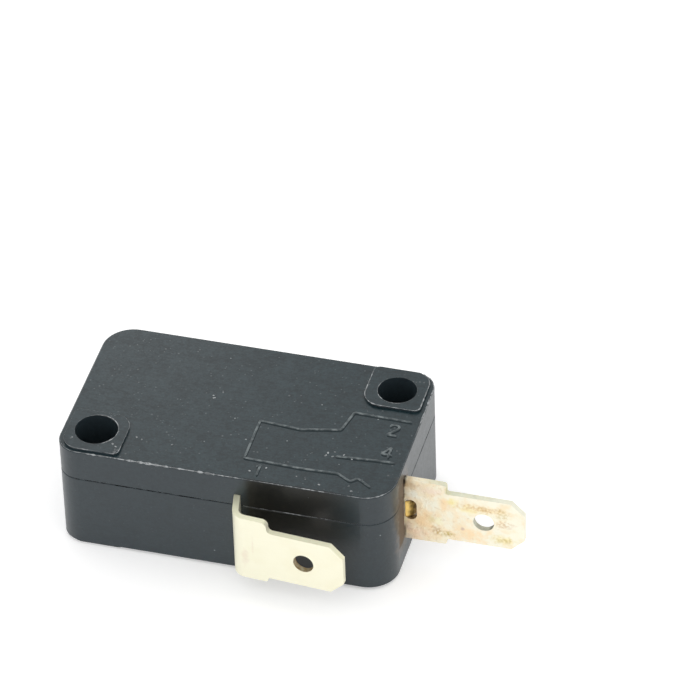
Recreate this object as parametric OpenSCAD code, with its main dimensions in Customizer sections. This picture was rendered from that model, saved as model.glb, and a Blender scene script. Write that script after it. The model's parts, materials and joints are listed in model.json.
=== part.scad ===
// Snap-action micro switch with two blade terminals, lying on its flat side.
// X runs along the case, Y points to the plunger side, Z is the case's thickness.
// The origin is midway between the two mounting holes, on the lower pads.

/* [Case] */
// Length of the case
body_l = 27.8; // [27:0.1:29]
// Height of the case, from the terminal side to the plunger side
body_h = 15.9; // [15.5:0.1:17]
// Thickness between the two large faces, without the pads
body_t = 9.65; // [9.6:0.05:10.4]
// Thickness of the base, from the lower large face to the seam
base_t = 6.75; // [6.65:0.05:7]
// Thickness of the side walls
wall = 1.4; // [1.2:0.05:1.5]
// Thickness of the large walls
floor_t = 1.4; // [1.1:0.05:1.5]
// Radius of the two plain corners
corner_r = 2.5; // [2:0.1:3]
// Radius of the two corners beside the mounting holes
hole_corner_r = 1.9; // [1.6:0.1:2.4]
// Chamfer round the large faces
edge_chamfer = 0.12; // [0.05:0.01:0.2]
// Chamfer on both sides of the seam
seam_chamfer = 0.07; // [0.03:0.01:0.1]

/* [Mounting holes] */
// Distance from a hole's centre to the end of the case, for holes 22.2 apart along it
hole_edge_x = 2.8; // [2.7:0.05:3]
// Distance from a hole's centre to the long side of the case, for holes 10.3 apart across it
hole_edge_y = 2.8; // [2.7:0.05:3]
// Diameter of the close hole, at the terminal end
hole_d = 3.2; // [3:0.05:3.4]
// Diameter of the loose hole, at the closed end
loose_hole_d = 3.5; // [3.2:0.05:3.6]
// Radius of the solid corner round a hole inside the case
boss_r = 2.5; // [2.3:0.05:2.7]
// Distance along the case from a hole's centre to the inner side of its pad
pad_reach_x = 2.5; // [2.3:0.05:2.7]
// Distance across the case from a hole's centre to the inner side of its pad
pad_reach_y = 2.15; // [2.05:0.05:2.5]
// Height of a pad above the large face
pad_rise = 0.2; // [0.1:0.05:0.3]
// Distance from a pad's outer side to the end of the case
pad_inset_x = 0.45; // [0.3:0.05:0.6]
// Distance from a pad's outer side to the long side of the case
pad_inset_y = 0.25; // [0.2:0.05:0.5]
// Radius of a pad's outer corner
pad_corner_r = 1.45; // [1.2:0.05:1.6]
// Radius of a pad's inner corner
pad_r = 1.5; // [1:0.1:1.8]
// Radius of a pad's two side corners
pad_side_r = 0.5; // [0.3:0.05:0.8]

/* [Lever slots] */
// Distance from the plunger to the nearer slot
slot_lead = 5.95; // [5.7:0.05:6.2]
// Distance between the two slots
slot_pitch = 5.55; // [5.2:0.05:5.8]
// Width of a slot
slot_w = 1.25; // [1:0.05:1.4]
// Length of a slot, up to the seam
slot_l = 4.55; // [4.2:0.05:4.8]
// Depth of a slot
slot_depth = 2.2; // [1.8:0.1:2.4]
// Thickness of the wall round the slots inside the case
slot_rib = 0.9; // [0.7:0.05:1.1]

/* [End marks] */
// Diameter of the small cone marks on the closed end
mark_d = 0.9; // [0.6:0.05:1.2]
// Depth of the marks
mark_depth = 0.15; // [0.1:0.01:0.25]
// Distance between the marks of a row
mark_pitch = 5.2; // [4.8:0.1:5.6]
// Distance of the base's row below the seam
mark_below = 3.25; // [2.8:0.05:3.6]
// Distance of the cover's row above the seam
mark_above = 1.2; // [1:0.05:1.5]

/* [Plunger] */
// Distance from the closed end of the case to the plunger's middle
plunger_back = 4.4; // [4.3:0.05:4.6]
// Width of the plunger and of its round top
plunger_w = 3.3; // [3:0.05:3.4]
// Length of the plunger across the case, up to the seam
plunger_l = 4.4; // [4.1:0.05:4.6]
// Height of the plunger's top above the case when it is free
plunger_rise = 3.05; // [2.8:0.05:3.3]
// Width of the collar that keeps the plunger in the case
collar_w = 4.2; // [4:0.05:4.3]
// Thickness of the collar
collar_t = 1.5; // [1.2:0.1:1.8]
// Radius of the nose under the plunger
nose_r = 0.6; // [0.5:0.05:0.7]
// Height of the nose
nose_h = 0.9; // [0.8:0.05:1.2]
// Distance of the nose from the plunger's middle, towards the closed end
nose_shift = 0.5; // [0.45:0.05:0.6]

/* [Terminals] */
// Thickness of the terminal sheet
sheet_t = 0.5; // [0.45:0.05:0.6]
// Width of a blade
blade_w = 4.75; // [4.6:0.05:4.9]
// Length of a blade in front of its shoulders
blade_l = 6.4; // [5.8:0.05:6.6]
// Bevel on the corners of a blade's tip
blade_bevel = 1.1; // [0.7:0.05:1.3]
// Diameter of a blade's hole
blade_hole_d = 1.7; // [1.4:0.05:1.9]
// Distance from a blade's tip to its hole
blade_hole_back = 3.35; // [3:0.05:3.6]
// Width of a terminal's root
root_w = 6.2; // [5.8:0.05:6.3]
// Radius of the shoulders at the end of a root
shoulder_r = 0.25; // [0.15:0.05:0.3]
// Radius between the shoulders and the blade
shoulder_fillet = 0.15; // [0.1:0.05:0.2]
// Radius of the common terminal's upper shoulder
upper_shoulder_r = 0.5; // [0.2:0.05:0.55]
// Radius between the common terminal's upper shoulder and its blade
upper_fillet = 0.4; // [0.1:0.05:0.45]
// Height of the end terminal's middle across the case
end_z = 5.55; // [5.45:0.05:5.65]
// Place of the end terminal's mid-plane
end_y = -3.45; // [-3.5:0.05:-3.4]
// Length of the end terminal's root outside the case
end_root_l = 3.5; // [3:0.05:3.8]
// Distance of the end blade below the middle of its root
end_drop = 0.15; // [0:0.05:0.2]
// Width of the punched slot in the end terminal's root
root_slot_w = 1.05; // [0.8:0.05:1.2]
// Length of the punched slot in the end terminal's root
root_slot_l = 2.05; // [1.8:0.05:2.3]
// Width of the end terminal's tongue inside the case
end_tongue_w = 4.6; // [4.2:0.05:4.8]
// Length of the end terminal's root inside the wall
end_step = 0.6; // [0.4:0.05:0.8]
// Length of the common terminal's inner run, from the forked post to the wall
common_run = 5.5; // [5.3:0.05:5.7]
// Height of the common terminal's middle across the case
common_z = 4.95; // [4.9:0.05:5]
// Angle by which the common terminal leans as it leaves the case
common_lean = 12; // [4:1:16]
// Straight stretch of the common terminal before its outer bend
common_lead = 1.48; // [1.2:0.02:1.7]
// Length of the common terminal's root after its outer bend
common_root_l = 2; // [1.7:0.05:2.2]
// Inner radius of the common terminal's outer bends
common_bend_r = 0.7; // [0.5:0.05:0.9]
// Angle by which the common blade opens away from the case
common_flare = 4.5; // [0:0.5:6]
// Distance of the common blade below the middle of its root
common_drop = 0.28; // [0:0.02:0.4]

/* [Mechanism] */
// Distance from the closed end of the case to the forked post
post_back = 9.75; // [9.65:0.05:9.85]
// Height of the post's top above the contact arm
post_over = 2; // [1.8:0.1:2.2]
// Inner radius of the terminal's bends inside the case
inner_bend_r = 0.5; // [0.4:0.05:0.6]
// Room between the case wall and the common terminal's inner run
run_lift = 0.55; // [0.5:0.05:0.7]
// Mid-plane of the contact arm at rest
arm_y = -0.25; // [-0.3:0.01:-0.2]
// Thickness of the contact arm
arm_t = 0.4; // [0.35:0.01:0.42]
// Width of the contact arm
arm_w = 5.4; // [5.2:0.05:5.5]
// Width of the gap in the fork of the post and of the arm
fork_w = 3; // [2.8:0.05:3.1]
// Mid-plane of the trip lever's run at rest
lever_y = -2.45; // [-2.5:0.01:-2.4]
// Thickness of the trip lever
lever_t = 0.5; // [0.45:0.01:0.52]
// Width of the trip lever
lever_w = 4.2; // [4:0.05:4.4]
// Inner radius of the trip lever's bends
lever_bend_r = 0.4; // [0.3:0.05:0.45]
// Distance from the forked post to the trip lever's upright
lever_reach = 3.85; // [3.8:0.01:3.9]
// Height of the trip lever's pad that meets the plunger
lever_top = 1.75; // [1.7:0.01:1.85]
// Distance from the terminal end of the case to the contacts
contact_inset = 4.9; // [4.8:0.05:5]
// Diameter of the fixed contact
fixed_d = 3; // [2.8:0.05:3.1]
// Height of the fixed contact
fixed_h = 1; // [0.9:0.05:1.05]
// Diameter of the moving contact
moving_d = 2.8; // [2.6:0.05:2.9]
// Height of the moving contact
moving_h = 0.6; // [0.5:0.05:0.65]
// Diameter of the contacts' shanks
shank_d = 1.5; // [1.3:0.05:1.6]
// Thickness of the contacts' riveted tails
tail_t = 0.25; // [0.2:0.05:0.3]
// Width of a riveted tail's rim beyond its shank
tail_rim = 0.35; // [0.25:0.05:0.4]
// Metal left beyond a contact's head
contact_margin = 0.45; // [0.35:0.05:0.5]
// Room in the case round a riveted tail
tail_room = 0.3; // [0.2:0.05:0.35]
// Room in the case beyond the end of the contact arm
arm_room = 0.5; // [0.4:0.05:0.6]
// Width of the contact arm's upright tongue for the spring
tongue_w = 1.6; // [1.4:0.05:1.8]

/* [Spring] */
// Distance from the contacts to the spring's hook on the contact arm
hook_inset = 3.5; // [3.4:0.05:3.6]
// Height of the spring's axis
spring_y = 0.3; // [0.28:0.01:0.34]
// Outer diameter of the spring
spring_d = 2; // [1.8:0.05:2.1]
// Diameter of the spring's wire
wire_d = 0.3; // [0.25:0.01:0.32]
// Number of coils
coils = 20; // [16:1:24]
// Diameter of the holes for the spring's hooks
hook_hole_d = 0.7; // [0.6:0.01:0.75]
// Radius of a hook's bend
hook_r = 0.3; // [0.28:0.01:0.35]
// Length of a hook's free end
hook_tail = 0.7; // [0.5:0.05:0.8]
// Distance from a hook's hole to the first coil
hook_lead = 0.75; // [0.7:0.05:0.9]
// Straight wire between a hook's hole and the turn into the coils
hook_neck = 0.25; // [0.2:0.01:0.3]

/* [Clearances] */
// Gap between the plunger and its channel
slide_gap = 0.06; // [0.04:0.01:0.1]
// Gap between a terminal and its seat
seat_gap = 0.03; // [0.02:0.01:0.06]
// Gap between an edge that turns and its groove
pivot_gap = 0.05; // [0.03:0.01:0.08]
// Gap between the plunger and the trip lever, and between the arm and its stop
rest_gap = 0.08; // [0.06:0.01:0.12]

/* [Hidden] */
$fn = 64;

case_colour = [0.16, 0.17, 0.18];
plunger_colour = [0.12, 0.12, 0.13];
brass_colour = [0.86, 0.78, 0.55];
bronze_colour = [0.72, 0.5, 0.3];
silver_colour = [0.8, 0.8, 0.78];
steel_colour = [0.62, 0.63, 0.65];

// How far a cutting shape runs past the surface that it cuts
over = 1;
// How far a straight stretch of a bent strip runs into the bends beside it
lap = 0.01;
// Sides of the spring's wire, steps in one of its coils, and the angle between a hook's points
wire_sides = 6;
coil_steps = 16;
hook_step = 30;

// Heights of the case's faces, from the lower pads up
low_z = pad_rise;
seam_z = low_z + base_t;
high_z = low_z + body_t;
top_z = high_z + pad_rise;
cavity_low_z = low_z + floor_t;
cavity_high_z = high_z - floor_t;

// Half sizes of the case, outside and inside
half_l = body_l / 2;
half_h = body_h / 2;
inner_l = half_l - wall;
inner_h = half_h - wall;
hole_x = half_l - hole_edge_x;
hole_y = half_h - hole_edge_y;

// Places along the case, tied to its closed end at -X and its terminal end at +X
plunger_x = -half_l + plunger_back;
post_x = -half_l + post_back;
lever_x = post_x - lever_reach;
common_x = post_x + common_run;
contact_x = half_l - contact_inset;
hook_x = contact_x - hook_inset;

// Corner radii in the order of the four quadrants
outer_radii = [hole_corner_r, corner_r, hole_corner_r, corner_r];
QUADRANTS = [[1, 1], [-1, 1], [-1, -1], [1, -1]];

// Lever slots and plunger, whose channels all end at the seam
slot_places = [plunger_x + slot_lead, plunger_x + slot_lead + slot_pitch];
collar_y = inner_h - rest_gap;
plunger_top = half_h + plunger_rise;
plunger_foot = lever_top + rest_gap;
plunger_high_z = seam_z - slide_gap;
channel_w = plunger_w + 2 * slide_gap;
channel_l = plunger_l + 2 * slide_gap;

// Common terminal, from its fork at the inner end to its blade
post_half = sheet_t / 2;
inner_mid_r = inner_bend_r + post_half;
run_y = -inner_h + run_lift + post_half;
post_top = arm_y + post_over;
fork_low = arm_y - fork_w / 2 + rest_gap;
common_mid_r = common_bend_r + post_half;
common_turn = 90 - common_lean - common_flare;
common_low_z = common_z - root_w / 2;

// End terminal, from its tongue inside to its blade
end_tongue_x = contact_x - fixed_d / 2 - contact_margin;
end_shoulder_x = inner_l - end_step;
end_top = end_y + post_half;

// Contact arm and trip lever, which turn in grooves on the post's two faces
arm_pivot_x = post_x + post_half;
lever_pivot_x = post_x - post_half;
arm_end_x = contact_x + moving_d / 2 + contact_margin;
arm_top = arm_y + arm_t / 2;
tongue_h = spring_y - arm_top + hook_hole_d;
lever_mid_r = lever_bend_r + lever_t / 2;
nose_x = plunger_x - nose_shift;
pad_tip_x = nose_x - nose_r;
shank_gap = seat_gap / 2;

// Ribs inside the case that hold the terminals and stop the arm
tail_d = shank_d + 2 * tail_rim;
stop_x = contact_x + tail_d / 2 + tail_room;
keeper_x = arm_end_x + arm_room;

// Radius of the spring's coils to the middle of the wire
coil_r = (spring_d - wire_d) / 2;

// What a radius takes off a corner that points to +X and +Y
module corner_cut(r) {
  difference() {
    translate([-r, -r])
      square(r + over);
    translate([-r, -r])
      circle(r);
  }
}

// What a radius adds to an inner corner that opens to +X and +Y
module corner_fill(r) {
  difference() {
    translate([-lap, -lap])
      square(r + lap);
    translate([r, r])
      circle(r);
  }
}

// A rectangle with a radius of its own at each corner, in the order of QUADRANTS
module rounded_rect(half, radii) {
  difference() {
    square(2 * half, center = true);
    for (i = [0:3]) {
      q = QUADRANTS[i];
      translate([q[0] * half[0], q[1] * half[1]])
        scale([q[0], q[1]])
          corner_cut(radii[i]);
    }
  }
}

// The triangle that a chamfer takes off an edge at distance r from its centre
module chamfer_profile(r, c) {
  polygon([[r - c - over, over], [r + over, -c - over], [r + over, over]]);
}

// The cutter that chamfers the upper edge of the case's outline at height 0
module edge_cutter(c) {
  for (i = [0:3]) {
    q = QUADRANTS[i];
    r = outer_radii[i];
    translate([q[0] * (half_l - r), q[1] * (half_h - r)])
      rotate_extrude(angle = 90, start = i * 90)
        chamfer_profile(r, c);
  }
  for (side = [0:3]) {
    along = side % 2 == 0 ? 2 * half_h : 2 * half_l;
    reach = side % 2 == 0 ? half_l : half_h;
    first = outer_radii[(side + 3) % 4];
    last = outer_radii[side];
    rotate(side * 90)
      translate([0, along / 2 - last, 0])
        rotate([90, 0, 0])
          linear_extrude(along - first - last)
            chamfer_profile(reach, c);
  }
}

// A slab of the case between two heights, with chamfered edges
module case_slab(z0, z1, low_c, high_c) {
  difference() {
    translate([0, 0, z0])
      linear_extrude(z1 - z0)
        rounded_rect([half_l, half_h], outer_radii);
    translate([0, 0, z1])
      edge_cutter(high_c);
    translate([0, 0, z0])
      mirror([0, 0, 1])
        edge_cutter(low_c);
  }
}

// The raised pads round the two mounting holes
module hole_pads() {
  x0 = hole_x - pad_reach_x;
  y0 = hole_y - pad_reach_y;
  x1 = half_l - pad_inset_x;
  y1 = half_h - pad_inset_y;
  for (turn = [0, 180])
    rotate(turn)
      translate([(x0 + x1) / 2, (y0 + y1) / 2, 0])
        linear_extrude(pad_rise)
          rounded_rect([(x1 - x0) / 2, (y1 - y0) / 2],
                       [pad_corner_r, pad_side_r, pad_r, pad_side_r]);
}

// The two mounting holes, right through the case
module mounting_holes() {
  for (s = [-1, 1])
    translate([s * hole_x, s * hole_y, -over])
      cylinder(d = s > 0 ? hole_d : loose_hole_d, h = top_z + 2 * over);
}

// The solid corner round a mounting hole
module hole_post() {
  reach = half_l;
  translate([hole_x, hole_y]) {
    circle(boss_r);
    translate([-boss_r, 0])
      square([reach, reach]);
    translate([0, -boss_r])
      square([reach, reach]);
  }
}

// A rectangle between two corners
module block(x0, y0, x1, y1) {
  translate([x0, y0])
    square([x1 - x0, y1 - y0]);
}

// The ribs that back the lever slots, hold the terminals and stop the contact arm
module ribs() {
  block(slot_places[0] - slot_w / 2 - slot_rib, half_h - slot_depth - slot_rib,
        slot_places[1] + slot_w / 2 + slot_rib, half_h);
  block(post_x + inner_mid_r, -half_h, common_x - inner_mid_r, run_y - post_half - seat_gap);
  block(post_x + 2 * inner_mid_r, run_y + post_half + seat_gap,
        common_x, run_y + post_half + sheet_t + slot_rib);
  block(end_tongue_x, -half_h, half_l, end_y - post_half - seat_gap);
  block(stop_x, arm_top + rest_gap, half_l, hole_y);
  block(keeper_x, end_top + seat_gap, half_l, hole_y);
}

// The hollow of the case seen from above
module cavity_outline() {
  difference() {
    rounded_rect([inner_l, inner_h], [for (r = outer_radii) max(r - wall, wall / 2)]);
    for (turn = [0, 180])
      rotate(turn)
        hole_post();
    ribs();
  }
  block(contact_x - tail_d / 2 - tail_room, end_y - post_half - tail_t - tail_room,
        contact_x + tail_d / 2 + tail_room, end_y);
}

// The hollow of the case between two heights
module cavity(z0, z1) {
  translate([0, 0, z0])
    linear_extrude(z1 - z0)
      cavity_outline();
}

// The gaps in the walls where the terminals pass
module terminal_gates() {
  translate([common_x - post_half - seat_gap, -half_h - over, common_low_z - seat_gap])
    cube([sheet_t + 2 * seat_gap, wall + 2 * over, root_w + 2 * seat_gap]);
  translate([inner_l - over, end_y - post_half - seat_gap, end_z - root_w / 2 - seat_gap])
    cube([wall + 2 * over, sheet_t + 2 * seat_gap, root_w + 2 * seat_gap]);
}

// The row of small marks across the closed end of the case
module end_marks(z) {
  for (s = [-1, 1])
    translate([-half_l, s * mark_pitch / 2, z])
      rotate([0, 90, 0])
        translate([0, 0, -mark_depth])
          cylinder(d1 = 2 * mark_d, d2 = 0, h = 2 * mark_depth);
}

// Lower moulding: floor, walls, ribs, plunger channel and lever slots
module base() {
  color(case_colour)
    difference() {
      union() {
        case_slab(low_z, seam_z, edge_chamfer, seam_chamfer);
        hole_pads();
      }
      cavity(cavity_low_z, seam_z + over);
      mounting_holes();
      terminal_gates();
      end_marks(seam_z - mark_below);
      for (x = slot_places)
        translate([x - slot_w / 2, half_h - slot_depth, seam_z - slot_l])
          cube([slot_w, slot_depth + over, slot_l + over]);
      translate([plunger_x - channel_w / 2, inner_h - over, seam_z - channel_l])
        cube([channel_w, wall + 2 * over, channel_l + over]);
    }
}

// Upper moulding, which closes the base at the seam
module cover() {
  color(case_colour)
    difference() {
      union() {
        case_slab(seam_z, high_z, seam_chamfer, edge_chamfer);
        translate([0, 0, high_z])
          hole_pads();
      }
      cavity(seam_z - over, cavity_high_z);
      mounting_holes();
      terminal_gates();
      end_marks(seam_z + mark_above);
    }
}

// Push button with a half-round top, a collar inside the case and a nose on the trip lever
module plunger() {
  color(plunger_colour)
    translate([plunger_x, 0, plunger_high_z - plunger_l])
      linear_extrude(plunger_l) {
        translate([0, plunger_top - plunger_w / 2])
          circle(plunger_w / 2);
        block(-plunger_w / 2, plunger_foot + nose_h, plunger_w / 2, plunger_top - plunger_w / 2);
        translate([-nose_shift, plunger_foot + nose_r])
          circle(nose_r);
        block(-nose_shift - nose_r, plunger_foot + nose_r, -nose_shift + nose_r, plunger_foot + 2 * nose_h);
        block(-collar_w / 2, collar_y - collar_t, collar_w / 2, collar_y);
      }
}

// The outline of a blade along +X, with a bevelled tip, from the inside of its root
module blade_outline(root_l, low, high) {
  tip_x = root_l + blade_l;
  polygon([
    [root_l - blade_bevel, low], [tip_x - blade_bevel, low], [tip_x, low + blade_bevel],
    [tip_x, high - blade_bevel], [tip_x - blade_bevel, high], [root_l - blade_bevel, high]
  ]);
}

// The outline of a root along +X from 0, with a rounded lower and upper shoulder
module root_outline(root_l, upper_r) {
  difference() {
    block(-lap, -root_w / 2, root_l, root_w / 2);
    translate([root_l, root_w / 2])
      corner_cut(upper_r);
    translate([root_l, -root_w / 2])
      scale([1, -1])
        corner_cut(shoulder_r);
  }
}

// A blade with its root, along +X from 0, standing on its edge across Z
module blade(root_l, drop, upper_r, upper_fill) {
  half_w = blade_w / 2;
  rotate([90, 0, 0])
    linear_extrude(sheet_t, center = true)
      difference() {
        union() {
          root_outline(root_l, upper_r);
          blade_outline(root_l, -half_w - drop, half_w - drop);
          translate([root_l, half_w - drop])
            corner_fill(upper_fill);
          translate([root_l, -half_w - drop])
            scale([1, -1])
              corner_fill(shoulder_fillet);
        }
        translate([root_l + blade_l - blade_hole_back, -drop])
          circle(d = blade_hole_d);
      }
}

// A bend of the terminal strip about the Z axis
module strip_bend(inner_r, start, angle) {
  rotate_extrude(angle = angle, start = start)
    translate([inner_r, -root_w / 2])
      square([sheet_t, root_w]);
}

// A straight stretch of the terminal strip between two corners of its plan
module strip(x0, y0, x1, y1) {
  linear_extrude(root_w, center = true)
    block(x0, y0, x1, y1);
}

// The common terminal outside the case, from the centre of its first bend: lead, bend and blade
module outer_run() {
  strip_bend(common_bend_r, 180, common_lean);
  rotate(common_lean) {
    strip(-common_mid_r - post_half, -common_lead - lap, -common_mid_r + post_half, lap);
    translate([0, -common_lead, 0]) {
      strip_bend(common_bend_r, 180, common_turn);
      rotate(common_turn)
        translate([-common_mid_r, 0, 0])
          rotate(-90)
            blade(common_root_l, common_drop, upper_shoulder_r, upper_fillet);
    }
  }
}

// Common terminal: outer run, inner run and forked post with its two grooves
module common_terminal() {
  color(brass_colour)
    translate([0, 0, common_z])
      difference() {
        union() {
          translate([common_x + common_mid_r, -half_h, 0])
            outer_run();
          strip(common_x - post_half, -half_h, common_x + post_half, run_y - inner_mid_r);
          translate([common_x - inner_mid_r, run_y - inner_mid_r, 0])
            strip_bend(inner_bend_r, 0, 90);
          strip(post_x + inner_mid_r, run_y - post_half, common_x - inner_mid_r, run_y + post_half);
          translate([post_x + inner_mid_r, run_y + inner_mid_r, 0])
            strip_bend(inner_bend_r, 180, 90);
          strip(post_x - post_half, run_y + inner_mid_r, post_x + post_half, post_top);
        }
        translate([post_x - sheet_t, fork_low, -fork_w / 2])
          cube([2 * sheet_t, post_over + fork_w, fork_w]);
        translate([arm_pivot_x, arm_y, 0])
          cylinder(r = arm_t / 2 + pivot_gap, h = root_w + over, center = true);
        translate([lever_pivot_x, lever_y, 0])
          cylinder(r = lever_t / 2 + pivot_gap, h = root_w + over, center = true);
      }
}

// End terminal: blade, root with its punched slot, and the tongue that carries the fixed contact
module end_terminal() {
  slot_mid = root_slot_w / 2;
  slot_end = (root_slot_l - root_slot_w) / 2;
  color(brass_colour)
    translate([half_l, end_y, end_z])
      difference() {
        union() {
          blade(end_root_l, end_drop, shoulder_r, shoulder_fillet);
          translate([end_shoulder_x - half_l, -post_half, -root_w / 2])
            cube([half_l - end_shoulder_x, sheet_t, root_w]);
          translate([end_tongue_x - half_l, -post_half, -end_tongue_w / 2])
            cube([end_shoulder_x - end_tongue_x, sheet_t, end_tongue_w]);
        }
        translate([slot_mid, 0, 0])
          rotate([90, 0, 0])
            linear_extrude(2 * sheet_t, center = true) {
              square([root_slot_w, 2 * slot_end], center = true);
              for (s = [-1, 1])
                translate([0, s * slot_end])
                  circle(d = root_slot_w);
            }
        translate([contact_x - half_l, 0, common_z - end_z])
          rotate([90, 0, 0])
            cylinder(d = shank_d + 2 * shank_gap, h = 2 * sheet_t, center = true);
      }
}

// A contact rivet along +Y: head above its carrier's face at 0, shank and tail below
module rivet(head_d, head_h, carrier_t) {
  translate([contact_x, 0, common_z])
    rotate([-90, 0, 0]) {
      cylinder(d = head_d, h = head_h);
      translate([0, 0, -carrier_t - tail_t])
        cylinder(d = shank_d, h = carrier_t + tail_t + head_h);
      translate([0, 0, -carrier_t - tail_t])
        cylinder(d = tail_d, h = tail_t);
    }
}

// Silver contact on the end terminal's tongue
module fixed_contact() {
  color(silver_colour)
    translate([0, end_top, 0])
      rivet(fixed_d, fixed_h, sheet_t);
}

// Silver contact under the contact arm
module moving_contact() {
  color(silver_colour)
    translate([0, arm_y - arm_t / 2, 0])
      mirror([0, 1, 0])
        rivet(moving_d, moving_h, arm_t);
}

// Forked contact arm with round pivot edges and an upright tongue for the spring
module contact_arm() {
  rail = (arm_w - fork_w) / 2;
  color(bronze_colour)
    translate([0, arm_y, common_z])
      difference() {
        union() {
          translate([0, -arm_t / 2, -arm_w / 2])
            for (s = [0, 1])
              translate([arm_pivot_x, 0, s * (fork_w + rail)])
                cube([hook_x - arm_pivot_x, arm_t, rail]);
          for (s = [-1, 1])
            translate([arm_pivot_x, 0, s * (fork_w + rail) / 2])
              cylinder(d = arm_t, h = rail, center = true);
          translate([hook_x - arm_t / 2, -arm_t / 2, -arm_w / 2])
            cube([arm_end_x - hook_x + arm_t / 2, arm_t, arm_w]);
          translate([hook_x - arm_t / 2, 0, -tongue_w / 2])
            cube([arm_t, arm_t / 2 + tongue_h, tongue_w]);
        }
        translate([hook_x, spring_y - arm_y, 0])
          rotate([0, 90, 0])
            cylinder(d = hook_hole_d, h = 2 * arm_t, center = true);
        translate([contact_x, 0, 0])
          rotate([90, 0, 0])
            cylinder(d = shank_d + 2 * shank_gap, h = 2 * arm_t, center = true);
      }
}

// A bend of the trip lever about the Z axis
module lever_bend(start) {
  rotate_extrude(angle = 90, start = start)
    translate([lever_bend_r, -lever_w / 2])
      square([lever_t, lever_w]);
}

// A straight stretch of the trip lever between two corners of its plan
module lever_strip(x0, y0, x1, y1) {
  linear_extrude(lever_w, center = true)
    block(x0, y0, x1, y1);
}

// Trip lever: run from its pivot, upright with the spring's hole, and the pad under the plunger
module trip_lever() {
  half_t = lever_t / 2;
  pad_y = lever_top - half_t;
  color(steel_colour)
    translate([0, 0, common_z])
      difference() {
        union() {
          translate([lever_pivot_x, lever_y, 0])
            cylinder(d = lever_t, h = lever_w, center = true);
          lever_strip(lever_x + lever_mid_r, lever_y - half_t, lever_pivot_x, lever_y + half_t);
          translate([lever_x + lever_mid_r, lever_y + lever_mid_r, 0])
            lever_bend(180);
          lever_strip(lever_x - half_t, lever_y + lever_mid_r, lever_x + half_t, pad_y - lever_mid_r);
          translate([lever_x - lever_mid_r, pad_y - lever_mid_r, 0])
            lever_bend(0);
          lever_strip(pad_tip_x, pad_y - half_t, lever_x - lever_mid_r, pad_y + half_t);
          translate([pad_tip_x, pad_y, 0])
            cylinder(d = lever_t, h = lever_w, center = true);
        }
        translate([lever_x, spring_y, 0])
          rotate([0, 90, 0])
            cylinder(d = hook_hole_d, h = 2 * lever_t, center = true);
      }
}

// Points of the spring's centre line: hook behind the lever, coils, hook behind the tongue
function spring_path() =
  let (
    low_x = lever_x + lever_t / 2 + hook_lead,
    high_x = hook_x - arm_t / 2 - hook_lead,
    low_hook_x = lever_x - lever_t / 2 - hook_r,
    high_hook_x = hook_x + arm_t / 2 + hook_r,
    steps = coils * coil_steps
  )
  concat(
    [[low_hook_x - hook_r, -hook_r - hook_tail, 0]],
    [for (a = [180:-hook_step:90]) [low_hook_x + hook_r * cos(a), -hook_r + hook_r * sin(a), 0]],
    [[lever_x + lever_t / 2 + hook_neck, 0, 0]],
    [for (i = [0:steps])
      let (a = i / coil_steps * 360)
      [low_x + (high_x - low_x) * i / steps, coil_r * sin(a), coil_r * cos(a)]],
    [[hook_x - arm_t / 2 - hook_neck, 0, 0]],
    [for (a = [-90:hook_step:0]) [high_hook_x + hook_r * cos(a), hook_r + hook_r * sin(a), 0]],
    [[high_hook_x + hook_r, hook_r + hook_tail, 0]]
  );

// A unit vector along v
function unit(v) = v / norm(v);

// The part of v that is square to the unit vector t, as a unit vector
function square_to(v, t) = unit(v - (v * t) * t);

// The direction of a path at each of its points
function directions(path) =
  let (last = len(path) - 1)
  [for (i = [0:last]) unit(path[min(i + 1, last)] - path[max(i - 1, 0)])];

// Side vectors carried along a path from point to point, so that a swept wire doesn't twist
function side_vectors(dirs) =
  [for (i = 0, n = square_to([0, 0, 1], dirs[0]); i < len(dirs);
        i = i + 1, n = i < len(dirs) ? square_to(n, dirs[i]) : n) n];

// A round wire of the given diameter swept along a path
module wire(path, d) {
  dirs = directions(path);
  sides = side_vectors(dirs);
  count = len(path);
  points = [for (i = [0:count - 1]) for (k = [0:wire_sides - 1])
    let (a = k * 360 / wire_sides, up = cross(dirs[i], sides[i]))
    path[i] + d / 2 * (cos(a) * sides[i] + sin(a) * up)];
  walls = [for (i = [0:count - 2]) for (k = [0:wire_sides - 1])
    let (
      here = i * wire_sides + k,
      next = i * wire_sides + (k + 1) % wire_sides
    )
    [here, here + wire_sides, next + wire_sides, next]];
  ends = [
    [for (k = [0:wire_sides - 1]) k],
    [for (k = [wire_sides - 1:-1:0]) (count - 1) * wire_sides + k]
  ];
  polyhedron(points, concat(walls, ends));
}

// Coil spring between the trip lever and the contact arm
module snap_spring() {
  color(steel_colour)
    translate([0, spring_y, common_z])
      wire(spring_path(), wire_d);
}

base();
cover();
plunger();
common_terminal();
end_terminal();
fixed_contact();
contact_arm();
moving_contact();
trip_lever();
snap_spring();
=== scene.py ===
"""Looks of a snap-action micro switch: finishes, relief, flash, shown spring, floor, light and camera.

Fields of the classes are in millimetres and degrees unless their names say otherwise, and meshes are in
metres. X runs along the case to the end terminal, Y points to the plunger side and Z is up.
"""
import json
import logging
import math
from dataclasses import dataclass
from enum import Enum
from functools import cached_property

import bpy
import numpy as np
from mathutils import Matrix, Vector

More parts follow.
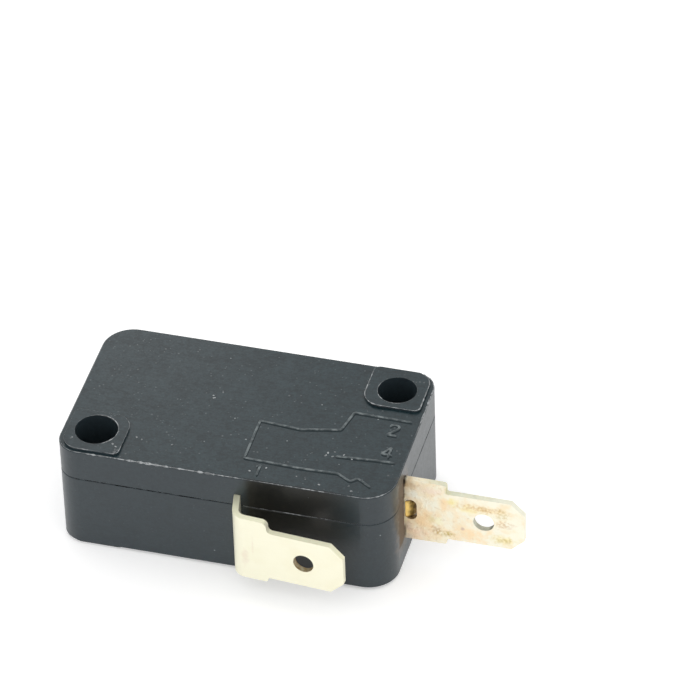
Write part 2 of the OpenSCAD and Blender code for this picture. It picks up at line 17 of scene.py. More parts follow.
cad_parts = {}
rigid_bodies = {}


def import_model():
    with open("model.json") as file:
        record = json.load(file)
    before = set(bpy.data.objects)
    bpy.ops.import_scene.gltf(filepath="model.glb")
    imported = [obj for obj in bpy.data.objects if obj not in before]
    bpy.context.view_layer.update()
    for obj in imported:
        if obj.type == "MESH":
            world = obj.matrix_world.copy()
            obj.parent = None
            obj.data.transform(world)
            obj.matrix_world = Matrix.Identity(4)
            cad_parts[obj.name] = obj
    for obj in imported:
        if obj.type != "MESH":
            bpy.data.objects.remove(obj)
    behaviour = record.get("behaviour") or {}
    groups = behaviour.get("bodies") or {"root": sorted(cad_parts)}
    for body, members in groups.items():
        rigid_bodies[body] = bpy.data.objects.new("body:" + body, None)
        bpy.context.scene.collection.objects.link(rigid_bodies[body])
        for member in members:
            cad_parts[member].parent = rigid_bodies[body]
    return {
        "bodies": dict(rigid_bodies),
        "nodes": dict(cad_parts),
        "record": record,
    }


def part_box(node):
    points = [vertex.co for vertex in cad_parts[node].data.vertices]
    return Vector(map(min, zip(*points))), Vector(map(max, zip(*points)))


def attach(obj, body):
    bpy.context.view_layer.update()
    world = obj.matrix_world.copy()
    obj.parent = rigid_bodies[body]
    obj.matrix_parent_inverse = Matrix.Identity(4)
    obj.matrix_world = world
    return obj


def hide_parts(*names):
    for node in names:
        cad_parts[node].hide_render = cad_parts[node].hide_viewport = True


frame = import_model()

MM = 0.001
LOG = logging.getLogger("micro_switch")

Colour = tuple[float, float, float]
Point = tuple[float, float]
Triple = tuple[float, float, float]
Array = np.ndarray
Material = bpy.types.Material
Socket = bpy.types.NodeSocket
Value = float | tuple[float, ...] | Socket
Inputs = dict[int, Value] | dict[str, Value]


def add_object(name: str, data: bpy.types.ID) -> bpy.types.Object:
    """Put a mesh, a light or a camera into the scene.

    Args:
        name: the object's name.
        data: its mesh, light or camera.

    Returns:
        The new object.
    """
    made = bpy.data.objects.new(name, data)
    bpy.context.scene.collection.objects.link(made)
    return made


class Body(Enum):
    """Bodies of the frame that new pieces ride on."""

    CASE = "case"
    SPRING = "snap_spring"


class Slot(Enum):
    """Material slots of the record."""

    CASE = "case_plastic"
    PLUNGER = "plunger_plastic"
    COMMON = "terminal_brass"
    END = "stained_brass"
    SILVER = "contact_silver"
    BRONZE = "arm_bronze"
    STEEL = "lever_steel"


class Graph:
    """Short calls that add and join the nodes of one node tree."""

    # Sockets of a colour mix: share, first and second colour, and the result.
    MIX_INPUTS, MIX_RESULT = (0, 6, 7), 2

    def __init__(self, tree: bpy.types.NodeTree) -> None:
        """Keep the tree of a material, a world or a group, which the nodes go into."""
        self.tree = tree

    @classmethod
    def of(cls, owner: Material | bpy.types.World) -> "Graph":
        """Start an empty node tree in a material or a world.

        Args:
            owner: the material or the world.

        Returns:
            Graph of the tree.
        """
        owner.use_nodes = True
        owner.node_tree.nodes.clear()
        return cls(owner.node_tree)

    def node(self, kind: str, inputs: Inputs | None = None, **settings: object) -> bpy.types.Node:
        """Add a node, set its properties and feed its inputs.

        Args:
            kind: Blender's name of the node's type.
            inputs: values of its inputs, by name or number.
            settings: properties to set on the node.

        Returns:
            The new node.
        """
        made = self.tree.nodes.new(kind)
        for name, value in settings.items():
            setattr(made, name, value)
        for key, value in (inputs or {}).items():
            self.feed(made.inputs[key], value)
        return made

    def feed(self, socket: Socket, value: Value) -> None:
        """Join an input to an output, or set its constant value.

        Args:
            socket: input to feed.
            value: output socket, number, vector or colour.
        """
        if isinstance(value, Socket):
            self.tree.links.new(value, socket)
        elif socket.type == "RGBA" and isinstance(value, tuple):
            socket.default_value = (*value[:3], 1.0)
        else:
            socket.default_value = value

    def math(self, operation: str, first: Value, second: Value = 0.0, clamp: bool = False) -> Socket:
        """Work out one number from one or two others, and keep it between 0 and 1 if clamped."""
        made = self.node("ShaderNodeMath", {0: first, 1: second}, operation=operation, use_clamp=clamp)
        return made.outputs[0]

    def times(self, first: Value, second: Value) -> Socket:
        """Multiply two numbers."""
        return self.math("MULTIPLY", first, second)

    def rest(self, share: Value) -> Socket:
        """Give what a share leaves of 1."""
        return self.math("SUBTRACT", 1.0, share)

    def vector(self, operation: str, first: Value, second: Value = (0.0, 0.0, 0.0)) -> Socket:
        """Work out a vector, or for LENGTH a number, from one or two vectors."""
        made = self.node("ShaderNodeVectorMath", {0: first, 1: second}, operation=operation)
        return made.outputs["Value" if operation == "LENGTH" else "Vector"]

    def parts(self, vector: Value) -> tuple[Socket, ...]:
        """Split a vector into its X, Y and Z."""
        return tuple(self.node("ShaderNodeSeparateXYZ", {0: vector}).outputs)

    def step(self, value: Value, low: float, high: float) -> Socket:
        """Rise smoothly from 0 to 1 as a number goes from low to high."""
        inputs = {"Value": value, "From Min": low, "From Max": high}
        return self.node("ShaderNodeMapRange", inputs, interpolation_type="SMOOTHSTEP").outputs["Result"]

    def scale(self, value: Value, to_low: float, to_high: float) -> Socket:
        """Stretch a number from 0 to 1 over another range."""
        inputs = {"Value": value, "To Min": to_low, "To Max": to_high}
        return self.node("ShaderNodeMapRange", inputs).outputs["Result"]

    def blend(self, share: Value, first: Value, second: Value) -> Socket:
        """Mix two colours, with the given share of the second."""
        inputs = dict(zip(self.MIX_INPUTS, (share, first, second)))
        return self.node("ShaderNodeMix", inputs, data_type="RGBA").outputs[self.MIX_RESULT]

    def cover(self, under: Value, over: Value, mask: Value, share: Value) -> Socket:
        """Lay a colour over another where a mask is, at a share of the mask."""
        return self.blend(self.times(mask, share), under, over)

    def noise(self, place: Value, scale: Value, detail: float = 3.0, swirl: float = 0.0) -> Socket:
        """Add a cloud pattern, mostly between 0.25 and 0.75, with its scale in clouds to the millimetre."""
        inputs = {"Vector": place, "Scale": scale, "Detail": detail, "Distortion": swirl}
        return self.node("ShaderNodeTexNoise", inputs).outputs[0]

    def group(self, effect: "Effect", **inputs: Value) -> bpy.types.Node:
        """Place an effect and feed its inputs."""
        return self.node("ShaderNodeGroup", inputs, node_tree=EffectGroup.tree(effect))

    def mask(self, effect: "Effect", **inputs: Value) -> Socket:
        """Place an effect and give its mask."""
        return self.group(effect, **inputs).outputs["Mask"]


class Effect(Enum):
    """Effects that finishes are put together from."""

    GRAIN = "moulded grain"
    DUST = "dust specks"
    SEEP = "seeped stain"
    BLOTCH = "ragged blotch"
    PATCHES = "stain patches"
    LINES = "fine lines"


class EffectGroup:
    """Shader node group of one effect, built once and shared by the finishes that place it."""

    VECTORS = ("Place", "Centre", "Half", "Stretch")
    # Names of the inputs and of the outputs.
    SOCKETS = {
        Effect.GRAIN: (("Place", "Size"), ("Height", "Tone")),
        Effect.DUST: (("Place", "Spacing", "Radius", "Share"), ("Mask",)),
        Effect.SEEP: (("Place", "Centre", "Half", "Reach"), ("Mask",)),
        Effect.BLOTCH: (("Place", "Centre", "Half", "Ragged"), ("Mask",)),
        Effect.PATCHES: (("Place", "Size", "Amount"), ("Mask", "Core")),
        Effect.LINES: (("Place", "Stretch"), ("Mask", "Height")),
    }
    # The grain's coarser clouds by scale, the way the last is drawn out, and each cloud's share of the tone.
    MIDDLE, COARSE, SWIRL = 0.4, 0.06, 0.8
    DRAWN = (0.12, 1.0, 1.0)
    TONE_SHARES = (0.3, 0.35, 0.2, 0.15)
    # Scale and detail of the clouds that make edges ragged, and the middle of every cloud.
    SEEP_CLOUD, BLOTCH_CLOUD = (1.5, 4.0), (2.2, 6.0)
    SEEP_RAGGED = 1.2
    CLOUD_MIDDLE = 0.5
    SMALLEST_SPECK = 0.3
    PATCH_GAIN, PATCH_LEVEL = 0.5, 0.75
    # Ranges over which the masks rise.
    TONE, SPECK, SEEP, BLOTCH = (0.36, 0.64), (0.0, 0.5), (0.0, 1.0), (0.1, 1.3)
    PATCH, CORE, LINE = (-0.16, 0.16), (0.03, 0.14), (0.0, 0.03)

    def __init__(self, effect: Effect) -> None:
        """Start the group with its sockets and fill it with the effect's nodes.

        Args:
            effect: which effect.
        """
        tree = bpy.data.node_groups.new(effect.value, "ShaderNodeTree")
        for names, way in zip(self.SOCKETS[effect], ("INPUT", "OUTPUT")):
            for name in names:
                kind = "NodeSocketVector" if name in self.VECTORS else "NodeSocketFloat"
                tree.interface.new_socket(name=name, in_out=way, socket_type=kind)
        self.graph = Graph(tree)
        self.given = self.graph.node("NodeGroupInput").outputs
        self.taken = self.graph.node("NodeGroupOutput").inputs
        makers = {
            Effect.GRAIN: self._grain,
            Effect.DUST: self._dust,
            Effect.SEEP: self._seep,
            Effect.BLOTCH: self._blotch,
            Effect.PATCHES: self._patches,
            Effect.LINES: self._lines,
        }
        makers[effect]()

    @classmethod
    def tree(cls, effect: Effect) -> bpy.types.NodeTree:
        """Give an effect's node group, and build it the first time."""
        return bpy.data.node_groups.get(effect.value) or cls(effect).graph.tree

    def _grain(self) -> None:
        """Fine moulded grain: a fine cloud for height, and the sum of four clouds for tone."""
        graph, place = self.graph, self.given["Place"]
        scale = graph.math("DIVIDE", 1.0, self.given["Size"])
        fine = graph.noise(place, scale, detail=4.0)
        middle = graph.noise(place, graph.times(scale, self.MIDDLE), swirl=self.SWIRL)
        coarse = graph.noise(place, graph.times(scale, self.COARSE), swirl=self.SWIRL)
        drawn = graph.noise(graph.vector("MULTIPLY", place, self.DRAWN), scale, detail=2.0)
        tone: Value = 0.0
        for cloud, share in zip((fine, middle, coarse, drawn), self.TONE_SHARES):
            tone = graph.math("ADD", tone, graph.times(cloud, share))
        graph.feed(self.taken["Height"], fine)
        graph.feed(self.taken["Tone"], graph.step(tone, *self.TONE))

    def _dust(self) -> None:
        """Sparse pale specks: cells of the given spacing, a share of which holds one speck each."""
        graph, given = self.graph, self.given
        scale = graph.math("DIVIDE", 1.0, given["Spacing"])
        cells = graph.node("ShaderNodeTexVoronoi", {"Vector": given["Place"], "Scale": scale}).outputs
        chance, size, _ = graph.parts(cells["Color"])
        away = graph.times(cells["Distance"], given["Spacing"])
        reach = graph.times(given["Radius"], graph.math("ADD", size, self.SMALLEST_SPECK))
        inside = graph.math("SUBTRACT", 1.0, graph.math("DIVIDE", away, reach), clamp=True)
        held = graph.math("LESS_THAN", chance, given["Share"])
        graph.feed(self.taken["Mask"], graph.times(graph.step(inside, *self.SPECK), held))

    def _seep(self) -> None:
        """Stain that seeps out of a box-shaped gap and fades over its reach, with a ragged edge."""
        graph, given = self.graph, self.given
        away = graph.vector("ABSOLUTE", graph.vector("SUBTRACT", given["Place"], given["Centre"]))
        over = graph.vector("MAXIMUM", graph.vector("SUBTRACT", away, given["Half"]))
        share = graph.math("DIVIDE", graph.vector("LENGTH", over), given["Reach"])
        cloud = graph.math("SUBTRACT", graph.noise(given["Place"], *self.SEEP_CLOUD), self.CLOUD_MIDDLE)
        edge = graph.math("ADD", share, graph.times(cloud, self.SEEP_RAGGED))
        graph.feed(self.taken["Mask"], graph.rest(graph.step(edge, *self.SEEP)))

    def _blotch(self) -> None:
        """One blotch: the distance from its centre in its half sizes is under one, give or take a cloud."""
        graph, given = self.graph, self.given
        away = graph.vector("SUBTRACT", given["Place"], given["Centre"])
        away = graph.vector("DIVIDE", away, given["Half"])
        cloud = graph.math("SUBTRACT", graph.noise(given["Place"], *self.BLOTCH_CLOUD), self.CLOUD_MIDDLE)
        reach = graph.math("ADD", graph.vector("LENGTH", away), graph.times(cloud, given["Ragged"]))
        graph.feed(self.taken["Mask"], graph.rest(graph.step(reach, *self.BLOTCH)))

    def _patches(self) -> None:
        """Patches where a cloud is denser than the amount asks, with a smaller core inside each."""
        graph, given = self.graph, self.given
        cloud = graph.noise(given["Place"], graph.math("DIVIDE", 1.0, given["Size"]), detail=5.0)
        dense = graph.math("ADD", cloud, graph.times(given["Amount"], self.PATCH_GAIN))
        level = graph.math("SUBTRACT", dense, self.PATCH_LEVEL)
        graph.feed(self.taken["Mask"], graph.step(level, *self.PATCH))
        graph.feed(self.taken["Core"], graph.step(level, *self.CORE))

    def _lines(self) -> None:
        """Fine drawn lines: a cloud stretched by the given factors, kept where it crosses its middle."""
        graph, given = self.graph, self.given
        cloud = graph.noise(graph.vector("MULTIPLY", given["Place"], given["Stretch"]), 1.0, detail=4.0)
        ridge = graph.math("ABSOLUTE", graph.math("SUBTRACT", cloud, self.CLOUD_MIDDLE))
        graph.feed(self.taken["Mask"], graph.rest(graph.step(ridge, *self.LINE)))
        graph.feed(self.taken["Height"], cloud)


class Finish:
    """One material: its shader, the place on the piece in millimetres and the way the surface faces."""

    BLADE = (0.3, 0.7)

    def __init__(self, name: str) -> None:
        """Start an empty material.

        Args:
            name: the material's name.
        """
        self.material = bpy.data.materials.new(name)
        self.graph = Graph.of(self.material)
        self.shader = self.graph.node("ShaderNodeBsdfPrincipled")
        self.graph.node("ShaderNodeOutputMaterial", {"Surface": self.shader.outputs["BSDF"]})
        given = self.graph.node("ShaderNodeTexCoord").outputs
        self.place = self.graph.vector("MULTIPLY", given["Object"], (1 / MM, 1 / MM, 1 / MM))
        self.facing = self.graph.parts(self.graph.vector("ABSOLUTE", given["Normal"]))

    def set(self, name: str, value: Value) -> None:
        """Feed one of the shader's inputs."""
        self.graph.feed(self.shader.inputs[name], value)

    @cached_property
    def walls(self) -> Socket:
        """Mask the edges and hole walls of a blade, which don't face along Y."""
        return self.graph.rest(self.graph.step(self.facing[1], *self.BLADE))

    def bump(self, height: Value, depth: float) -> None:
        """Raise the surface by a pattern from 0 to 1, with the whole step's height in millimetres."""
        made = self.graph.node("ShaderNodeBump", {"Distance": depth * MM, "Height": height})
        self.set("Normal", made.outputs["Normal"])


@dataclass(frozen=True)
class MouldedPlastic:
    """Dark grained plastic with pale points, dust, a tan stain by the end terminal, painted light and shade.

    Painted light makes the faces that don't face up paler than the top, and painted shade darkens the front
    behind the bent terminal. The stain seeps out of a box given by its middle, gate, and its half sizes. The
    painted shade begins and ends softly along X between the four places of shade_x, and across the case
    between the two of shade_y.
    """

    name: str
    dark: Colour
    light: Colour
    gate: Triple
    gate_half: Triple
    # Painted light: the paler colour that faces not facing up are drawn towards.
    side: Colour = (0.037, 0.047, 0.055)
    painted_side_light_share: float = 0.6
    pale: Colour = (0.14, 0.155, 0.16)
    point_share: float = 0.5
    side_points: float = 0.3
    dust: Colour = (0.55, 0.58, 0.59)
    dust_share: float = 0.4
    stain: Colour = (0.3, 0.21, 0.13)
    stain_share: float = 0.55
    stain_reach: float = 1.9
    stain_roughness: float = 0.9
    # Painted shade on the front behind the bent terminal.
    shade: Colour = (0.004, 0.003, 0.002)
    shade_share: float = 0.9
    shade_x: tuple[float, float, float, float] = (1.7, 2.5, 8.0, 12.0)
    shade_y: Point = (-7.9, -7.2)
    grain: float = 0.16
    heaps_per_mm: float = 0.6
    roughness: Point = (0.37, 0.31)
    depth: float = 0.006

    POINTS = {"Spacing": 0.3, "Radius": 0.09, "Share": 0.35}
    DUST = {"Spacing": 0.8, "Radius": 0.08, "Share": 0.15}
    HEAPED = (0.36, 0.62)
    FACING_UP = (0.5, 0.9)
    FACING_FRONT = (0.4, 0.8)

    def _shade(self, finish: Finish) -> Socket:
        """Mask the painted shade: the part of the front that lies behind the bent terminal, with a soft far
        end.

        Args:
            finish: finish that the nodes go into.

        Returns:
            The mask's socket.
        """
        graph = finish.graph
        x, y, _ = graph.parts(finish.place)
        near, full, fall, far = self.shade_x
        along = graph.times(graph.step(x, near, full), graph.rest(graph.step(x, fall, far)))
        front = graph.times(along, graph.rest(graph.step(y, *self.shade_y)))
        return graph.times(front, graph.step(finish.facing[1], *self.FACING_FRONT))

    def material(self) -> Material:
        """Build the material.

        Returns:
            The new material.
        """
        finish = Finish(self.name)
        graph, place = finish.graph, finish.place
        grain = graph.group(Effect.GRAIN, Place=place, Size=self.grain)
        points = graph.mask(Effect.DUST, Place=place, **self.POINTS)
        dust = graph.mask(Effect.DUST, Place=place, **self.DUST)
        seep = graph.mask(
            Effect.SEEP, Place=place, Centre=self.gate, Half=self.gate_half, Reach=self.stain_reach
        )
        upper = graph.step(finish.facing[2], *self.FACING_UP)
        heaps = graph.step(graph.noise(place, self.heaps_per_mm), *self.HEAPED)
        heaped = graph.times(graph.scale(upper, self.side_points, 1.0), graph.times(heaps, self.point_share))
        colour = graph.blend(grain.outputs["Tone"], self.dark, self.light)
        # Painted light: faces that don't face up are made paler than the top.
        colour = graph.cover(colour, self.side, graph.rest(upper), self.painted_side_light_share)
        colour = graph.cover(colour, self.pale, points, heaped)
        colour = graph.cover(colour, self.stain, seep, self.stain_share)
        # Painted shade: the front behind the bent terminal is darkened.
        colour = graph.cover(colour, self.shade, self._shade(finish), self.shade_share)
        colour = graph.cover(colour, self.dust, dust, self.dust_share)
        rough = graph.scale(grain.outputs["Tone"], *self.roughness)
        finish.set("Base Color", colour)
        finish.set("Roughness", graph.math("MAXIMUM", rough, graph.times(seep, self.stain_roughness)))
        finish.bump(grain.outputs["Height"], self.depth)
        return finish.material


@dataclass(frozen=True)
class SpeckledPlastic:
    """Plastic that is pale in specks, rubbed pale and partly painted highlight, as on torn flash and on worn
    relief.
    """

    name: str
    dark: Colour
    pale: Colour
    speck: float = 0.3
    amount: Point = (0.42, 0.62)
    roughness: Point = (0.4, 0.8)

    def material(self) -> Material:
        """Build the material.

        Returns:
            The new material.
        """
        finish = Finish(self.name)
        graph = finish.graph
        rubbed = graph.step(graph.noise(finish.place, 1 / self.speck, detail=4.0), *self.amount)
        finish.set("Base Color", graph.blend(rubbed, self.dark, self.pale))
        finish.set("Roughness", graph.scale(rubbed, *self.roughness))
        return finish.material


@dataclass(frozen=True)
class GapDirtAndShade:
    """Dirt and painted shade in a narrow gap: a dark colour that gives back almost no light."""

    name: str
    dark: Colour
    light: Colour
    cloud: float = 0.5

    def material(self) -> Material:
        """Build the material.

        Returns:
            The new material.
        """
        finish = Finish(self.name)
        cloud = finish.graph.noise(finish.place, 1 / self.cloud)
        finish.set("Base Color", finish.graph.blend(cloud, self.dark, self.light))
        finish.set("Specular IOR Level", 0.0)
        finish.set("Roughness", 1.0)
        return finish.material


class Spread(Enum):
    """How a blotch of stain, also of painted shade, covers its place."""

    WHOLE = "all of it"
    SPECKLED = "broken into specks"
    WALL = "only the walls of holes and edges"


@dataclass(frozen=True)
class Blotch:
    """A blotch of stain, also used for painted shade: its place and half sizes in X and Z, with its colour,
    strength and spread.
    """

    x: float
    z: float
    half_x: float
    half_z: float
    colour: Colour
    share: float
    spread: Spread = Spread.WHOLE

    RAGGED = 1.8
    DEEP = 50.0

    def over(self, finish: Finish, colour: Value, specks: Value) -> Socket:
        """Lay the blotch over a colour.

        Args:
            finish: finish that the nodes go into.
            colour: colour under the blotch.
            specks: mask that breaks a speckled stain.

        Returns:
            The socket of the colour with the blotch laid over it.
        """
        graph = finish.graph
        spread = {Spread.WHOLE: 1.0, Spread.SPECKLED: specks, Spread.WALL: finish.walls}[self.spread]
        mask = graph.mask(
            Effect.BLOTCH, Place=finish.place, Ragged=self.RAGGED,
            Centre=(self.x, 0.0, self.z), Half=(self.half_x, self.DEEP, self.half_z),
        )
        return graph.cover(colour, self.colour, graph.times(mask, spread), self.share)


@dataclass(frozen=True)
class SheetMetal:
    """Rolled and stamped metal with drawn lines, soft tarnish, a few dark pits and duller sheared edges."""

    name: str
    bright: Colour
    dull: Colour
    pit: Colour
    sheared: Colour
    metallic: float = 1.0
    stretch: Triple = (0.25, 3.0, 6.0)
    cloud: float = 2.4
    roughness: Point = (0.34, 0.5)
    line_depth: float = 0.004
    line_share: float = 0.12
    tarnish: float = 0.35
    pit_share: float = 0.3
    marks: tuple[Blotch, ...] = ()

    PITS = {"Spacing": 0.7, "Radius": 0.07, "Share": 0.12}
    TARNISHED = (0.4, 0.75)
    FACING_UP = (0.45, 0.75)
    SHEAR_STRETCH = (1.5, 1.5, 0.3)
    SHEAR_SHARE = (0.55, 1.0)

    def material(self) -> Material:
        """Build the material.

        Returns:
            The new material.
        """
        finish = Finish(self.name)
        graph, place = finish.graph, finish.place
        lines = graph.group(Effect.LINES, Place=place, Stretch=self.stretch)
        cloud = graph.step(graph.noise(place, 1 / self.cloud, detail=4.0), *self.TARNISHED)
        pits = graph.mask(Effect.DUST, Place=place, **self.PITS)
        edge = graph.step(finish.facing[2], *self.FACING_UP)
        drawn = graph.noise(graph.vector("MULTIPLY", place, self.SHEAR_STRETCH), 1.0)
        shear = graph.scale(drawn, *self.SHEAR_SHARE)
        colour = graph.cover(self.bright, self.dull, cloud, self.tarnish)
        colour = graph.cover(colour, self.dull, lines.outputs["Mask"], self.line_share)
        colour = graph.cover(colour, self.pit, pits, self.pit_share)
        colour = graph.cover(colour, self.sheared, edge, shear)
        for mark in self.marks:
            colour = mark.over(finish, colour, lines.outputs["Mask"])
        finish.set("Base Color", colour)
        finish.set("Metallic", self.metallic)
        finish.set("Roughness", graph.scale(lines.outputs["Height"], *self.roughness))
        finish.bump(lines.outputs["Height"], self.line_depth)
        return finish.material


@dataclass(frozen=True)
class StainedMetal:
    """Cream brass with mottled stains that thin out towards the tip, green-grey sheared edges and painted
    shade.

    The painted shade darkens the slot's walls and the root where it meets the case.
    """

    name: str
    root_x: float
    tip_x: float
    root: Colour = (1.0, 0.93, 0.74)
    tip: Colour = (0.98, 0.94, 0.78)
    sheared: Colour = (0.62, 0.65, 0.5)
    sheared_tip: Colour = (0.82, 0.83, 0.7)
    mottle_colour: Colour = (1.0, 0.78, 0.48)
    mottle_size: float = 0.8
    mottle_share: float = 0.5
    fine_colour: Colour = (0.6, 0.38, 0.13)
    fine_size: float = 0.3
    fine_share: float = 0.2
    speck_size: float = 0.22
    metallic: float = 0.62
    roughness: Point = (0.36, 0.55)
    depth: float = 0.012

    MOTTLED = (0.5, 0.3)
    SPECKLED = 0.54
    FINELY = (0.42, 0.3)
    PALER = (0.1, 0.8)
    CREAM_EDGE = (0.08, 0.3)
    EDGE_SHARE = (0.25, 1.0)
    TIP_EDGE = (0.5, 1.0)
    WORN = (0.3, 1.0)
    WORN_SIZE = 1.25
    PEACH = (1.0, 0.76, 0.46)
    CREAM = (1.0, 0.96, 0.8)
    YELLOW = (0.97, 0.84, 0.38)
    OLIVE = (0.6, 0.46, 0.13)
    BROWN = (0.58, 0.33, 0.09)
    LILAC = (0.68, 0.52, 0.44)
    # Painted shade: dark brown for the walls of the slot.
    PAINTED_SLOT_SHADE = (0.13, 0.075, 0.02)
    # Painted shade in the gap where the root enters the case.
    SHADE = (0.03, 0.02, 0.012)
    BLOTCHES = (
        # Painted shade: the first blotch darkens the root's top corner next to the case.
        Blotch(14.35, 8.15, 0.7, 0.6, (0.66, 0.46, 0.24), 0.8),
        Blotch(14.8, 7.2, 0.6, 0.5, (1.0, 0.97, 0.83), 0.9),
        Blotch(15.4, 7.9, 0.5, 0.6, (1.0, 0.86, 0.66), 0.6),
        Blotch(16.4, 6.4, 0.8, 0.9, CREAM, 1.0),
        Blotch(16.3, 7.8, 0.8, 0.5, (0.97, 0.82, 0.7), 0.6),
        Blotch(17.3, 6.6, 0.55, 0.9, PEACH, 0.8),
        Blotch(15.3, 4.7, 1.3, 1.2, PEACH, 1.0),
        Blotch(15.0, 3.2, 1.0, 0.8, (1.0, 0.77, 0.55), 0.9),
        Blotch(16.2, 4.9, 0.45, 0.5, (0.8, 0.68, 0.36), 0.6),
        Blotch(16.75, 4.75, 0.4, 0.45, (1.0, 0.95, 0.66), 0.8),
        Blotch(16.6, 3.75, 0.5, 0.5, BROWN, 0.8, Spread.SPECKLED),
        Blotch(17.4, 3.55, 0.8, 0.35, OLIVE, 0.9, Spread.SPECKLED),
        Blotch(17.85, 7.0, 0.5, 0.5, YELLOW, 0.8),
        Blotch(19.3, 6.5, 1.0, 0.5, YELLOW, 0.6),
        Blotch(20.4, 6.75, 2.4, 0.5, (0.96, 0.76, 0.42), 0.6),
        Blotch(20.2, 6.75, 2.2, 0.4, BROWN, 0.6, Spread.SPECKLED),
        Blotch(22.0, 6.4, 0.6, 0.6, OLIVE, 0.6, Spread.SPECKLED),
        Blotch(22.1, 5.5, 0.9, 0.4, BROWN, 0.6, Spread.SPECKLED),
        Blotch(22.0, 3.85, 1.1, 0.5, YELLOW, 0.5),
        Blotch(22.0, 3.85, 1.1, 0.5, OLIVE, 0.6, Spread.SPECKLED),
        Blotch(17.6, 8.1, 0.35, 0.35, (0.6, 0.55, 0.25), 0.9),
        Blotch(19.3, 3.9, 1.5, 0.9, PEACH, 0.8),
        Blotch(18.7, 4.4, 0.17, 0.2, LILAC, 0.7),
        Blotch(14.2, 3.75, 0.35, 0.5, LILAC, 0.5),
        Blotch(14.2, 2.6, 0.35, 0.4, LILAC, 0.4),
        Blotch(20.45, 5.4, 2.0, 2.0, (0.34, 0.34, 0.27), 0.9, Spread.WALL),
        Blotch(14.0, 5.5, 0.2, 1.6, (1.0, 0.9, 0.58), 0.9),
        # Painted shade on the walls of the slot and the edges next to it.
        Blotch(14.5, 5.45, 1.2, 2.0, PAINTED_SLOT_SHADE, 0.9, Spread.WALL),
        # Painted shade in the gap where the root enters the case, and along the root's left edge.
        Blotch(13.95, 8.55, 0.2, 0.5, SHADE, 1.0),
        Blotch(13.9, 7.5, 0.12, 1.6, SHADE, 0.9),
        Blotch(13.93, 3.1, 0.14, 0.9, SHADE, 0.7),
    )

    def material(self) -> Material:
        """Build the material.

        Returns:
            The new material.
        """
        finish = Finish(self.name)
        graph, place = finish.graph, finish.place
        along = graph.math("SUBTRACT", graph.parts(place)[0], self.root_x)
        along = graph.math("DIVIDE", along, self.tip_x - self.root_x)
        paler = graph.step(along, *self.PALER)
        mottled, finely = graph.scale(paler, *self.MOTTLED), graph.scale(paler, *self.FINELY)
        mottle = graph.mask(Effect.PATCHES, Place=place, Size=self.mottle_size, Amount=mottled)
        specks = graph.group(Effect.PATCHES, Place=place, Size=self.speck_size, Amount=self.SPECKLED)
        fine = graph.group(Effect.PATCHES, Place=place, Size=self.fine_size, Amount=finely)
        colour = graph.blend(paler, self.root, self.tip)
        colour = graph.cover(colour, self.mottle_colour, mottle, self.mottle_share)
        edge = graph.times(finish.walls, graph.scale(graph.step(along, *self.CREAM_EDGE), *self.EDGE_SHARE))
        worn = graph.scale(graph.noise(place, 1 / self.WORN_SIZE), *self.WORN)
        sheared = graph.blend(graph.step(along, *self.TIP_EDGE), self.sheared, self.sheared_tip)
        colour = graph.cover(colour, sheared, edge, worn)
        for mark in self.BLOTCHES:
            colour = mark.over(finish, colour, specks.outputs["Mask"])
        colour = graph.cover(colour, self.fine_colour, fine.outputs["Core"], self.fine_share)
        finish.set("Base Color", colour)
        finish.set("Metallic", self.metallic)
        finish.set("Roughness", graph.scale(mottle, *self.roughness))
        finish.bump(graph.math("ADD", mottle, specks.outputs["Core"]), self.depth)
        return finish.material


class Outline:
    """Plan outlines worked out as whole arrays."""

    ARC_POINTS = 13

    @staticmethod
    def rounded(centre: Point, half: Point, radii: tuple[float, ...], step: float) -> Array:
        """Walk round a rectangle with a radius of its own at each corner.

        The point on a corner's arc is its centre plus the radius times (cos a, sin a), with a running over
        that corner's quarter turn; the sides are the straight lines between the arcs.

        Args:
            centre: middle of the rectangle.
            half: half its sizes along X and Y.
            radii: corner radii in the order of the quadrants.
            step: distance between points.

        Returns:
            Points of the closed outline, one row each, with the first not repeated.
        """
        signs = np.array([[1, 1], [-1, 1], [-1, -1], [1, -1]], float)
        radius = np.array(radii)[:, None]
        middles = np.array(centre) + signs * (np.array(half) - radius)
        angles = np.radians(np.arange(4)[:, None] * 90 + np.linspace(0, 90, Outline.ARC_POINTS)[None, :])
        arcs = middles[:, None, :] + radius[:, :, None] * np.stack([np.cos(angles), np.sin(angles)], axis=2)
        corners = arcs.reshape(-1, 2)
        return Outline.even(np.vstack([corners, corners[:1]]), step)[:-1]

    @staticmethod
    def even(points: Array, step: float) -> Array:
        """Place points at even distances along a line of straight stretches.

        Args:
            points: the line's corners.
            step: about the distance between the new points.

        Returns:
            The new points, with both ends kept.
        """
        lengths = np.linalg.norm(np.diff(points, axis=0), axis=1)
        reach = np.concatenate([[0.0], np.cumsum(lengths)])
        places = np.linspace(0.0, reach[-1], max(int(round(reach[-1] / step)), 2) + 1)
        return np.stack([np.interp(places, reach, points[:, k]) for k in range(points.shape[1])], axis=1)

    @staticmethod
    def soften(points: Array, passes: int) -> Array:
        """Round an open line's corners: each pass moves a point to the mean of itself and its neighbours.

        Args:
            points: the line's points.
            passes: number of passes.

        Returns:
            The rounded line, with both ends kept.
        """
        for _ in range(passes):
            points = np.vstack([points[:1], (points[:-2] + points[1:-1] + points[2:]) / 3, points[-1:]])
        return points


